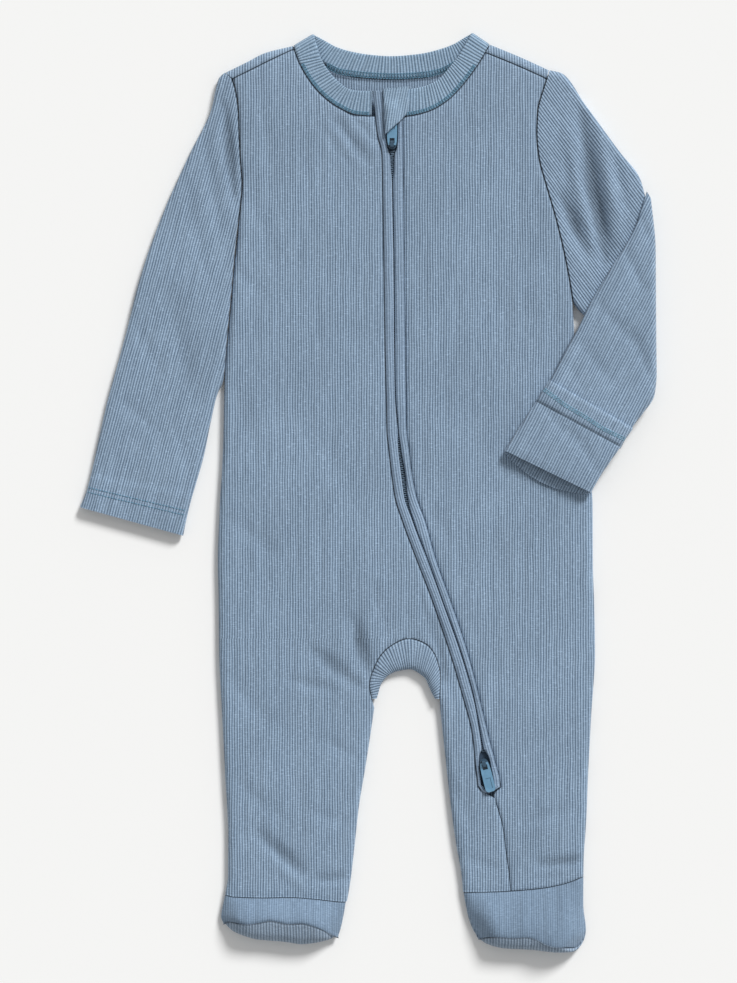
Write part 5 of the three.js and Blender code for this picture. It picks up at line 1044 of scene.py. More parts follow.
class Outline:
    """Edges of the sleepsuit's body as the photograph shows them."""

    NECK_Y = 243.4
    APEX = np.array([26.5, -94.9])
    CROTCH_Y = -139.0
    STRIP_LEVEL_END = -187.0

    def __init__(self) -> None:
        """Turn the tables of sizes into curves."""
        self.left = BODY.curve("y", "left")
        self.right = BODY.curve("y", "right")
        self.left_inseam = INSEAM.curve("y", "left")
        self.right_inseam = INSEAM.curve("y", "right")
        self.ankle = ANKLE.curve("x", "y")
        self.zip = ZIP.curve("y", "x")
        self.zip_gap = ZIP.curve("y", "gap")
        self.left_strip = ZIP.curve("y", "left")
        self.right_strip = ZIP.curve("y", "right")
        self.main_seam = LEG_SEAM.curve("y", "main")
        self.side_seam = LEG_SEAM.curve("y", "side")
        self.gusset = GUSSET.path("seam_x", "seam_y", "fold_x", "fold_y")
        shares = np.linspace(0, 1, 401)
        self.apex_share = shares[np.argmin(np.abs(self.gusset(shares)[:, 0] - self.APEX[0]))]

    def main_inner(self, y: Array) -> Array:
        """Zip-side edge of the main front."""
        return np.where(y > self.STRIP_LEVEL_END, self.left_strip(y) - SEAM_GAP, self.main_seam(y))

    def side_inner(self, y: Array) -> Array:
        """Zip-side edge of the narrow front."""
        return np.where(y > self.STRIP_LEVEL_END, self.right_strip(y) + SEAM_GAP, self.side_seam(y))

    def left_roll(self, y: Array) -> Array:
        """How much the left edge rolls: fully below the underarm, hardly at the armhole."""
        return mix(1, SEAM_ROLL, ease((y - 160) / 22))

    def right_roll(self, y: Array) -> Array:
        """How much the right edge rolls."""
        return mix(1, SEAM_ROLL, ease((y - 112) / 18))

    def inseam_roll(self, y: Array) -> Array:
        """How much the inseams roll: hardly at the gusset."""
        return mix(1, SEAM_ROLL, ease((y - self.CROTCH_Y) / 5))

    def to_ankle(self, points: Array) -> Array:
        """Bend the lowest rows of a leg to its ankle seam.

        Args:
            points: points of a leg, across and along.

        Returns:
            The moved points.
        """
        share = np.maximum(0, (points[..., 1] + 203) / (-262 + 203))
        moved = points.copy()
        moved[..., 1] = np.where(share > 0, -203 + share * (self.ankle(points[..., 0]) + 203),
                                 points[..., 1])
        return moved

    def inner_edge(self, side: Side, pitch: float) -> tuple[Array, Array, Array]:
        """Inner edge of a leg, from the arch's apex to the ankle.

        Args:
            side: Which leg.
            pitch: Distance between rows in millimetres.

        Returns:
            Points of the edge, the level of each row's outer end, and how much each rolls.
        """
        arch = np.linspace(0, 1, int(70 / pitch))[1:]
        on_arch = self.gusset(mix(self.apex_share, 0 if side is Side.LEFT else 1, arch))[:, :2]
        inseam = self.left_inseam if side is Side.LEFT else self.right_inseam
        legs = np.linspace(self.CROTCH_Y - 1, -262, int(123 / pitch))
        points = np.concatenate([on_arch, np.column_stack([inseam(legs), legs])])
        levels = np.concatenate([mix(self.APEX[1], self.CROTCH_Y, arch * 0.88), legs])
        rolls = np.concatenate([np.full(len(arch), SEAM_ROLL), self.inseam_roll(legs)])
        return points, levels, rolls

    def fill_top(self, base: Array, top: Array, start_edge: Curve, end_edge: Curve, rows: int) -> Array:
        """Fill the top of a panel between its straight base row, its side edges and its top edge.

        Args:
            base: Last straight row.
            top: Top edge, as many points as the base.
            start_edge: Position of the first side by height.
            end_edge: Position of the last side.
            rows: Number of rows to make.

        Returns:
            Points, rows by columns by 2.
        """
        v = np.linspace(0, 1, rows + 1)[1:, None]
        start_y, end_y = mix(base[0, 1], top[0, 1], v), mix(base[-1, 1], top[-1, 1], v)
        start = np.stack([np.where(v == 1, top[0, 0], start_edge(start_y)), start_y], axis=-1)
        end = np.stack([np.where(v == 1, top[-1, 0], end_edge(end_y)), end_y], axis=-1)
        u = ((base[:, 0] - base[0, 0]) / (base[-1, 0] - base[0, 0]))[None, :, None]
        v = v[..., None]
        corners = mix(mix(base[0], base[-1], u), mix(top[0], top[-1], u), v)
        return mix(base[None], top[None], v) + mix(start, end, u) - corners


@dataclass
class Body:
    """Fronts, back and gusset."""

    outline: Outline
    room: Workroom
    wall: float = 0.9
    row_pitch: float = 2.6
    back_pitch: float = 5.0
    seam_dip: float = 0.45
    faint_by: float = 0.38

    def shoulder_edge(self, side: Side) -> Curve:
        """Front's shoulder edge, a seam's gap below the back's turn.

        Args:
            side: Which shoulder.

        Returns:
            A path from the neck outwards on the right, and inwards on the left.
        """
        table = SHOULDER[side].turned() if side is Side.LEFT else SHOULDER[side]
        top = np.column_stack([table.column("top_x"), table.column("top_y")])
        seam = np.column_stack([table.column("seam_x"), table.column("seam_y")])
        edge = seam + SEAM_GAP * (seam - top) / np.linalg.norm(seam - top, axis=1, keepdims=True)
        return Table("x y", tuple(map(tuple, edge))).path("x", "y")

    def shoulder_rolled(self, net: Net) -> Net:
        """Let points near a shoulder roll over its folded top instead.

        Args:
            net: Points of a front.

        Returns:
            The same points with their reach, roll and direction changed near the shoulders.
        """
        reach, roll, inward = net.reach.copy(), net.roll.copy(), net.inward.copy()
        for table in SHOULDER.values():
            top = np.column_stack([table.column("top_x"), table.column("top_y")])
            for a, b in zip(top[:-1], top[1:]):
                t = np.clip(((net.points - a) @ (b - a)) / ((b - a) @ (b - a)), 0, 1)
                away = net.points - a - t[..., None] * (b - a)
                far = np.linalg.norm(away, axis=-1)
                near = (far < ROLL) & ((roll < 1) | (far < reach))
                reach = np.where(near, far, reach)
                roll = np.where(near, 1.0, roll)
                inward = np.where(near[..., None], away / np.maximum(far, 1e-6)[..., None], inward)
        return Net(net.points, reach, roll, inward)

    def front(self, shell: Shell, net: Net, seams: Sequence[Array], faint: Sequence[Array] = ()) -> None:
        """Add a grid of a front to its shell.

        Args:
            shell: Where the cloth goes.
            net: Points of the grid.
            seams: Seam lines that the cloth dips at, with painted seam shade.
            faint: Seam lines with only faint painted seam shade.
        """
        net = self.shoulder_rolled(net)
        x, y = net.points[..., 0], net.points[..., 1]
        turn, lift = rolled(net.reach, ROLL)
        sharp, soft = distance_to(net.points, seams), distance_to(net.points, faint)
        # Faint seams count as further away, so their painted seam shade is weaker.
        seam = np.minimum(sharp, soft + self.faint_by)
        height = front_height(x, y)
        top = height - self.seam_dip * np.exp(-((np.minimum(sharp, soft) / 1.3) ** 2))
        outer_z = top - net.roll * (top - SEAM_Z) * (1 - lift)
        inner_z = top - self.wall - net.roll * (top - self.wall - SEAM_Z) * (1 - lift)
        inner = net.points + net.inward * (net.roll * self.wall * turn)[..., None]
        cloth = np.stack([x, y, seam], axis=-1)
        # Depth below the body's top sets painted crease shade.
        shell.add(np.dstack([x, y, outer_z]), np.dstack([inner, inner_z]), cloth, crease_shade_depth=BODY_TOP - height)

    def reverse(self, shell: Shell, net: Net, seams: Sequence[Array]) -> None:
        """Add a grid of the back to its shell, like front does for the fronts.

        Args:
            shell: shell to add to.
            net: grid of the back.
            seams: lines of the seams round it.
        """
        x, y = net.points[..., 0], net.points[..., 1]
        turn, lift = rolled(net.reach, ROLL)
        seam = distance_to(net.points, seams)
        edge = SEAM_Z - SEAM_GAP
        outer_z = net.roll * edge * (1 - lift)
        inner_z = self.wall + net.roll * (edge - self.wall) * (1 - lift)
        inner = net.points + net.inward * (net.roll * self.wall * turn)[..., None]
        cloth = np.stack([x, y, seam], axis=-1)
        shell.add(np.dstack([x, y, outer_z]), np.dstack([inner, inner_z]), cloth)

    def make_main(self) -> bpy.types.Object:
        """Wide front with the left leg and a strip of the right one.

        Returns:
            The finished piece.
        """
        line, apex = self.outline, self.outline.APEX
        y = np.linspace(apex[1], 150, int(245 / self.row_pitch))
        open_share = ease((y - apex[1]) / 60)
        split = np.column_stack([mix(apex[0], line.main_inner(y) - 12, open_share), y])
        loose = mix(1.0, 2.4, open_share)
        left = even_row(np.column_stack([line.left(y), y]), split, 34, 1.0, loose)
        right = even_row(split, np.column_stack([line.main_inner(y), y]), 5, mix(1.0, 0.9, open_share), 0.8)
        rows = np.concatenate([left, right[:, 1:]], axis=1)
        columns = rows.shape[1]
        corner = round(columns * 0.4)
        neck_rows = BAND_FRONT_LEFT.turned()
        neck = ((-48.0, 286.6), *zip(neck_rows.column("seam_x")[:-1], neck_rows.column("seam_y")[:-1]),
                (float(line.left_strip(line.NECK_Y)) - SEAM_GAP, line.NECK_Y))
        neck_path = Table("x y", neck).path("x", "y")
        shoulder = self.shoulder_edge(Side.LEFT)
        top = np.concatenate([shoulder(np.linspace(0, 1, corner + 1))[:-1],
                              neck_path(np.linspace(0, 1, columns - corner))])
        upper = line.fill_top(rows[-1], top, line.left, line.main_inner, int(125 / self.row_pitch))
        seams = [top[corner:], top[:corner + 1]]
        body = np.concatenate([rows, upper])
        seams += [body[:, -1], body[len(rows):, 0]]
        legs = []
        for side in Side:
            points, levels, rolls = line.inner_edge(side, self.row_pitch)
            seams.append(points[rolls < 0.5])
            if side is Side.LEFT:
                outer = np.column_stack([line.left(levels), levels])
                grid = np.concatenate([left[:1], even_row(outer, points, 34)])
                legs.append((grid, np.ones(len(grid)), np.concatenate([[SEAM_ROLL], rolls])))
            else:
                outer = np.column_stack([line.main_inner(levels), levels])
                grid = np.concatenate([right[:1], even_row(points, outer, 5, 1.0, 0.8)])
                legs.append((grid, np.concatenate([[SEAM_ROLL], rolls]), np.full(len(grid), SEAM_ROLL)))
                zip_edge = line.to_ankle(grid)[:, -1]
                seams.append(zip_edge[zip_edge[:, 1] > -198])
                leg_seam = zip_edge[zip_edge[:, 1] < -194]
        shell = Shell()
        self.front(shell, Net.over(body, line.left_roll(body[:, 0, 1]),
                                   np.full(len(body), SEAM_ROLL)), seams)
        for grid, start_roll, end_roll in legs:
            bent = line.to_ankle(grid)
            self.front(shell, Net.over(bent, start_roll, end_roll), seams, [bent[-1], leg_seam])
        return self.room.hand_over(shell.build("front_main_cloth"), "body_knit", ["front_main"])

    def make_side(self) -> bpy.types.Object:
        """Narrow front between the zip and the right side.

        Returns:
            The finished piece.
        """
        line = self.outline
        y = np.concatenate([np.linspace(-262, -140, int(122 / self.row_pitch)),
                            np.linspace(-138, 150, int(288 / self.row_pitch))])
        starts, ends = np.column_stack([line.side_inner(y), y]), np.column_stack([line.right(y), y])
        rows = line.to_ankle(even_row(starts, ends, 40))
        columns = rows.shape[1]
        corner = round(columns * 0.42)
        neck_rows = BAND_FRONT_RIGHT.turned()
        neck = ((float(line.right_strip(line.NECK_Y)) + SEAM_GAP, line.NECK_Y),
                *zip(neck_rows.column("seam_x")[1:], neck_rows.column("seam_y")[1:]), (76.1, 284.3))
        neck_path = Table("x y", neck).path("x", "y")
        shoulder = self.shoulder_edge(Side.RIGHT)
        top = np.concatenate([neck_path(np.linspace(0, 1, corner + 1))[:-1],
                              shoulder(np.linspace(0, 1, columns - corner))])
        upper = line.fill_top(rows[-1], top, line.side_inner, line.right, int(135 / self.row_pitch))
        body = np.concatenate([rows, upper])
        seams, faint = [top, body[body[:, -1, 1] > 122, -1]], [body[:, 0], body[0]]
        shell = Shell()
        self.front(shell, Net.over(body, np.full(len(body), SEAM_ROLL),
                                   line.right_roll(body[:, -1, 1])), seams, faint)
        return self.room.hand_over(shell.build("front_side_cloth"), "body_knit", ["front_side"])

    def make_back(self) -> bpy.types.Object:
        """Back, with its turns over both shoulders.

        Returns:
            The finished piece.
        """
        line, apex = self.outline, self.outline.APEX
        y = np.linspace(apex[1], 150, int(245 / self.back_pitch))
        open_share = ease((y - apex[1]) / 60)
        split = np.column_stack([mix(apex[0], 15, open_share), y])
        loose = mix(1.0, 3.0, open_share)
        left = even_row(np.column_stack([line.left(y), y]), split, 12, 1.0, loose)
        right = even_row(split, np.column_stack([line.right(y), y]), 12, loose, 1.0)
        rows = np.concatenate([left, right[:, 1:]], axis=1)
        names = ("top_x", "top_y", "seam_x", "seam_y", "flat_x", "flat_y")
        shoulders = SHOULDER[Side.LEFT].turned().path(*names), SHOULDER[Side.RIGHT].path(*names)
        neck = ((-44.5, 286.9), *zip(BAND_BACK.column("seam_x"), BAND_BACK.column("seam_y")), (75.0, 287.8))
        neck_path = Table("x y", neck).path("x", "y")
        neck_count = 22
        left_count = math.ceil((rows.shape[1] - 1 - neck_count) / 2)
        right_count = rows.shape[1] - 1 - neck_count - left_count
        shares = np.linspace(0, 1, left_count + 1), np.linspace(0, 1, right_count + 1)
        top = np.concatenate([shoulders[0](shares[0])[:-1, 4:],
                              neck_path(np.linspace(0, 1, neck_count + 1)),
                              shoulders[1](shares[1])[1:, 4:]])
        upper = line.fill_top(rows[-1], top, line.left, line.right, int(130 / self.back_pitch))
        body = np.concatenate([rows, upper])
        seams = [top[left_count:left_count + neck_count + 1]]
        left_roll, right_roll = line.left_roll(body[:, 0, 1]), line.right_roll(body[:, -1, 1])
        left_roll[-1] = right_roll[-1] = 0
        shell = Shell()
        self.reverse(shell, Net.over(body, left_roll, right_roll), seams)
        for path, share in zip(shoulders, shares):
            self.add_turn(shell, path(share))
        for side in Side:
            points, levels, rolls = line.inner_edge(side, self.back_pitch)
            first = np.concatenate([[SEAM_ROLL], rolls])
            if side is Side.LEFT:
                grid = np.concatenate([left[:1],
                                       even_row(np.column_stack([line.left(levels), levels]), points, 12)])
                net = Net.over(line.to_ankle(grid), np.ones(len(grid)), first)
            else:
                grid = np.concatenate([right[:1], even_row(points, np.column_stack([line.right(levels), levels]), 12)])
                net = Net.over(line.to_ankle(grid), first, np.ones(len(grid)))
            self.reverse(shell, net, seams)
        return self.room.hand_over(shell.build("back_cloth"), "body_knit", ["back"])

    def add_turn(self, shell: Shell, stations: Array) -> None:
        """Add the turn over a shoulder, from the flat back to the seam on the front.

        Args:
            shell: Shell of the back.
            stations: Rows of top, seam and flat points.
        """
        top, seam, flat = stations[:, :2], stations[:, 2:4], stations[:, 4:]
        outer, inner = [], []

        def add(direction: Array, reach: Array, up: float) -> None:
            """Add one line of points along the shoulder.

            Args:
                direction: way out of the shoulder, a row for each point.
                reach: distance gone round the turn.
                up: 1 for the outer face and less for the inner one.
            """
            unit = direction / np.linalg.norm(direction, axis=1, keepdims=True)
            turn, lift = rolled(reach, ROLL)
            z = SEAM_Z + up * SEAM_Z * lift
            inner_z = SEAM_Z + up * (SEAM_Z - self.wall) * lift
            outer.append(np.column_stack([top + unit * reach[:, None], z]))
            inner.append(np.column_stack([top + unit * (reach + self.wall * turn)[:, None], inner_z]))

        flat_length, seam_length = (np.linalg.norm(end - top, axis=1) for end in (flat, seam))
        flat_at = np.column_stack([flat, np.zeros(len(flat))])
        outer.append(flat_at)
        inner.append(flat_at + [0, 0, self.wall])
        for share in (0.7, 0.45, 0.25, 0.12, 0.04):
            add(flat - top, flat_length * share, -1)
        add((flat - top) / flat_length[:, None] + (seam - top) / seam_length[:, None],
            np.zeros(len(top)), 1)
        for share in (0.04, 0.12, 0.25, 0.45, 0.7, 0.88, 1):
            add(seam - top, seam_length * share, 1)
        grid, inside = np.stack(outer), np.stack(inner)
        seam_reach = np.linalg.norm(grid[..., :2] - seam[None], axis=-1)
        seam_reach[:6] = 9
        shell.add(grid, inside, np.dstack([grid[..., 0], grid[..., 1], seam_reach]))

    def make_gusset(self) -> bpy.types.Object:
        """Crotch gusset lying double: front half, folded edge and back half.

        Returns:
            The finished piece.
        """
        shares = np.concatenate([np.linspace(0, self.outline.apex_share, 28)[:-1],
                                 np.linspace(self.outline.apex_share, 1, 28)])
        seam_x, seam_y, fold_x, fold_y = self.outline.gusset(shares).T
        seam, fold = np.column_stack([seam_x, seam_y]), np.column_stack([fold_x, fold_y])
        full = np.linalg.norm(seam - fold, axis=1)
        width = full - SEAM_GAP
        direction = (seam - fold) / full[:, None]
        wall = np.minimum(self.wall, width * 0.45)
        outer, inner, reaches = [], [], []
        steps = (1, 0.85, 0.6, 0.35, 0.18, 0.07, 0.02)
        for share, up in [*((s, 1) for s in steps), (0, 1), *((s, -1) for s in steps[::-1])]:
            reach = share * width
            turn, lift = rolled(reach, np.minimum(ROLL, width))
            at = fold + direction * reach[:, None]
            dip = 0.35 * np.exp(-(((width - reach) / 1.3) ** 2))
            half = front_height(at[:, 0], at[:, 1]) - dip - SEAM_Z if up > 0 else SEAM_Z
            outer.append(np.column_stack([at, SEAM_Z + up * half * lift]))
            inner.append(np.column_stack([fold + direction * (reach + wall * turn)[:, None],
                                          SEAM_Z + up * (half - wall) * lift]))
            reaches.append(width - reach)
        grid, inside = np.stack(outer, axis=1), np.stack(inner, axis=1)
        middle = (seam + fold) / 2
        along = np.concatenate([[0.0], np.cumsum(np.linalg.norm(np.diff(middle, axis=0), axis=1))])
        reach = np.stack(reaches, axis=1)
        shell = Shell()
        shell.add(grid, inside,
                  np.dstack([np.broadcast_to(along[:, None], reach.shape), reach, reach + 0.15]))
        return self.room.hand_over(shell.build("gusset_cloth"), "body_knit", ["gusset"])

    def build(self) -> list[bpy.types.Object]:
        """Make all four pieces."""
        return [self.make_main(), self.make_side(), self.make_back(), self.make_gusset()]


def tube_ring(start: Array, end: Array, wall: float, top: Curve, low: Callable[[Array, Array], Array],
              middle: tuple[float, float], bow: Curve | None = None,
              shift: tuple[float, float] = (0.0, 0.0),
              inner: int = 26) -> tuple[Array, Array]:
    """One ring of a flattened tube, whose two halves meet at a rounded edge on each side.

    Args:
        start: One side edge, x and y.
        end: The other side edge.
        wall: Cloth thickness in millimetres.
        top: Height of the upper half over points x and y.
        low: Height of the lower half by distance from the nearer edge and whether that is the start.
        middle: Height of the rounded edge at the start and at the end.
        bow: Path of the ring by share, a straight line unless given.
        shift: How far the lower half is set back.
        inner: Even steps across the flat.

    Returns:
        Outer and inner points.
    """
    width = float(np.linalg.norm(end - start))
    radius = min(ROLL, width * 0.3)
    close = np.array([0, 0.25, 0.7, 1.3, 2.1, 3.1, 4.2, 5.5]) * radius / ROLL * min(1.0, width / 12)
    share = steps_along(width, close, close, inner) / width
    both = np.concatenate([share, share[::-1][1:-1]])
    upper = np.arange(len(both)) < len(share)
    near_start = both < 0.5
    reach = np.where(near_start, both, 1 - both) * width
    turn, lift = rolled(reach, radius)
    at = bow(both) if bow else start + (end - start) * both[:, None]
    lens = np.sin(np.pi * both) ** 0.7
    at = at + np.where(upper, 0.0, lens)[:, None] * np.array(shift)
    mid = mix(middle[0], middle[1], both)
    level = np.where(upper, top(at), low(reach, near_start))
    outer = np.column_stack([at, mid + (level - mid) * lift])
    push = (np.where(near_start, 1, -1) * wall * turn)[:, None] * (end - start) / width
    inner_z = mid + (level - np.where(upper, wall, -wall) - mid) * lift
    return outer, np.column_stack([at + push, inner_z])


@dataclass
class Sleeves:
    """Left sleeve lying open, and right sleeve folded over with a turned cuff."""

    outline: Outline
    room: Workroom
    wall: float = 0.9
    pitch: float = 2.6
    top: float = 6.6
    hem_from: float = 0.93
    hem_rise: float = 0.5
    layers_meet: float = 5.8
    armhole_gap: float = 0.6
    mouth: float = 8.0

    def armhole(self, side: Side) -> Array:
        """Armhole seam from the shoulder's folded edge to the underarm.

        Args:
            side: Which armhole.

        Returns:
            Points x and y.
        """
        left = side is Side.LEFT
        top_x, top_y, _, seam_y, _, _ = SHOULDER[side].rows[-1]
        gap = -self.armhole_gap if left else self.armhole_gap
        levels = np.linspace(seam_y, 175 if left else 122.9, 60)
        edge = self.outline.left if left else self.outline.right
        return np.concatenate([[[top_x + gap, top_y]], np.column_stack([edge(levels) + gap, levels])])

    def section(self, path: Curve, bow: Array, share: float, fade: float) -> tuple[Array, Array, Curve]:
        """One section of an arm, curved like the armhole near it.

        Args:
            path: Sides of the arm by share.
            bow: Points of the armhole.
            share: Where the section is.
            fade: Share over which the armhole's curve fades out.

        Returns:
            Start, end and curve of the section.
        """
        cells, first = path(share), path(0.0)
        keep = 1 - ease(share / fade)
        curve = straight(*map(tuple, bow))

        def bowed(along: Array) -> Array:
            """Point of the section.

            Args:
                along: shares across the section.

            Returns:
                Points of the section.
            """
            level = along[:, None]
            extra = curve(along) - mix(first[:2], first[2:4], level)
            return mix(cells[:2], cells[2:4], level) + extra * keep

        return cells[:2], cells[2:4], bowed

    def add_rings(self, shell: Shell, rings: Sequence[tuple[Array, Array]], axis: Array,
                  seams: Sequence[Array],
                  creases: Table = SLEEVE_CREASES) -> None:
        """Add rings of one tube to a shell, with ribs along its axis.

        Args:
            shell: Where the cloth goes.
            rings: Outer and inner points of each ring.
            axis: Direction of the ribs.
            seams: Seam lines that the cloth dips at, with painted seam shade.
            creases: Creases of this part.
        """
        outer, inner = (np.stack(part) for part in zip(*rings))
        across = outer[..., 0] * -axis[1] + outer[..., 1] * axis[0]
        along = outer[..., :2] @ axis
        seam = distance_to(outer[..., :2], seams) if seams else np.full(across.shape, 9.0)
        dip = 0.45 * np.exp(-((seam / 1.3) ** 2)) * (outer[..., 2] > SEAM_Z + 1)
        outer[..., 2] -= dip
        creased = crease_rise(creases, outer[..., 0], outer[..., 1]) * (outer[..., 2] > 1.5)
        # Depth of each crease sets painted crease shade.
        shell.add(outer, inner, np.stack([across, along, seam], axis=-1), closed=True, crease_shade_depth=-creased)

    def make_left(self) -> bpy.types.Object:
        """Left sleeve, from the armhole to its turned hem.

        Returns:
            The finished piece.
        """
        path = LEFT_SLEEVE.path("outer_x", "outer_y", "inner_x", "inner_y")
        bow = self.armhole(Side.LEFT)
        shares = np.concatenate([np.linspace(0, self.hem_from - 0.002, 104),
                                 np.linspace(self.hem_from + 0.002, 0.985, 8), [0.996, 1.0]])
        rings = []
        for t in shares:
            hem = self.hem_rise if t > self.hem_from else 0.0
            hem -= 0.3 * ease((t - 0.98) / 0.02)
            level = mix(BODY_TOP, self.top, ease(t / 0.2)) + hem
            start, end, curve = self.section(path, bow, t, 0.3)
            rings.append(tube_ring(start, end, self.wall + 0.6 * max(hem, 0), lambda at,
                                   level=level: level + self.creased(at),
                                   lambda reach, near: np.zeros_like(reach), (SEAM_Z, SEAM_Z), curve))
        shell = Shell()
        self.add_rings(shell, rings, np.array([-0.26, -0.966]), [bow[1:]])
        return self.room.hand_over(shell.build("sleeve_left_cloth"), "body_knit", ["sleeve_left"])

    def creased(self, at: Array) -> Array:
        """Height that creases add to a sleeve."""
        return crease_rise(SLEEVE_CREASES, at[:, 0], at[:, 1])

    def folded_ring(self, cells: Array, wall: float, back: float, rise: float = 0.0) -> tuple[Array, Array]:
        """One ring of the folded forearm, which lies on the upper arm and the body.

        Args:
            cells: Left x and y, right x and y, low and top.
            wall: Cloth thickness.
            back: How far the lower half is set back from the mouth.
            rise: Extra height.

        Returns:
            Outer and inner points.
        """
        low, top = float(cells[4]), float(cells[5]) + rise
        fused = float(ease((3 - low) / 2))
        under = mix(low if low > 7 else 7.5, self.layers_meet, fused)
        middle = (max(under, self.layers_meet + 0.6) + top) / 2, (low + top) / 2
        shift = (-0.45 * back, -0.89 * back)
        return tube_ring(
            cells[:2], cells[2:4], wall,
            lambda at: top + crease_rise(FOREARM_CREASES, at[:, 0], at[:, 1]),
            lambda reach, near: np.where(near, under, mix(low, under, ease((reach - 6) / 14))),
            middle, shift=shift, inner=22)

    def make_right(self) -> bpy.types.Object:
        """Right sleeve: upper arm, forearm folded back over it, and turned cuff.

        Returns:
            The finished piece.
        """
        path = UPPER_ARM.path("outer_x", "outer_y", "inner_x", "inner_y")
        bow = self.armhole(Side.RIGHT)
        rings = []
        for t in np.linspace(0, 1, 40):
            level = mix(BODY_TOP, self.top, ease(t / 0.2))
            start, end, curve = self.section(path, bow, t, 0.4)
            rings.append(tube_ring(start, end, self.wall, lambda at, level=level: level + self.creased(at),
                                   lambda reach, near: np.zeros_like(reach), (SEAM_Z, SEAM_Z), curve))
        shell = Shell()
        self.add_rings(shell, rings, np.array([0.6, -0.8]), [bow[1:]])
        names = ("left_x", "left_y", "right_x", "right_y", "low", "top")
        forearm = FOREARM.path(*names)
        rows = [forearm(t) for t in np.linspace(0, 1, 66)]
        folded = [self.folded_ring(cells, self.wall, 0.0) for cells in rows]
        tip = [tuple(self.shrunk(part, size) for part in folded[0]) for size in (0.02, 0.5, 0.85)]
        self.add_rings(shell, [*tip, *folded], np.array([-0.454, -0.891]), [], FOREARM_CREASES)
        cuff = []
        corners = CUFF.column("left_x"), CUFF.column("left_y"), CUFF.column("right_x"), CUFF.column("right_y"), CUFF.column("top")
        for i, steps in enumerate((2, 6, 3, 9, 6, 2)):
            for t in np.arange(steps) / steps:
                cells = [mix(part[i], part[i + 1], t) for part in corners]
                share = max(0.0, (i + t - 3) / 3)
                cuff.append(self.folded_ring(np.array([*cells[:4], 7.4, cells[4]]), 1.5,
                                             self.mouth * share))
        cells = [part[-1] for part in corners]
        cuff.append(self.folded_ring(np.array([*cells[:4], 7.4, cells[4]]), 1.1, self.mouth))
        step = np.array([[108.8, 58.8], [163.2, 29.2]])
        self.add_rings(shell, cuff, np.array([-0.454, -0.891]), [step], FOREARM_CREASES)
        return self.room.hand_over(shell.build("sleeve_right_cloth"), "body_knit", ["sleeve_right"])

    def shrunk(self, ring: Array, size: float) -> Array:
        """A smaller copy of the elbow's first ring, moved towards the tip."""
        centre = ring.mean(axis=0)
        return centre + (ring - centre) * size + np.array([0.4, 0.9, 0.0]) * (1 - size) * 0.3

    def build(self) -> list[bpy.types.Object]:
        """Make both sleeves."""
        return [self.make_left(), self.make_right()]


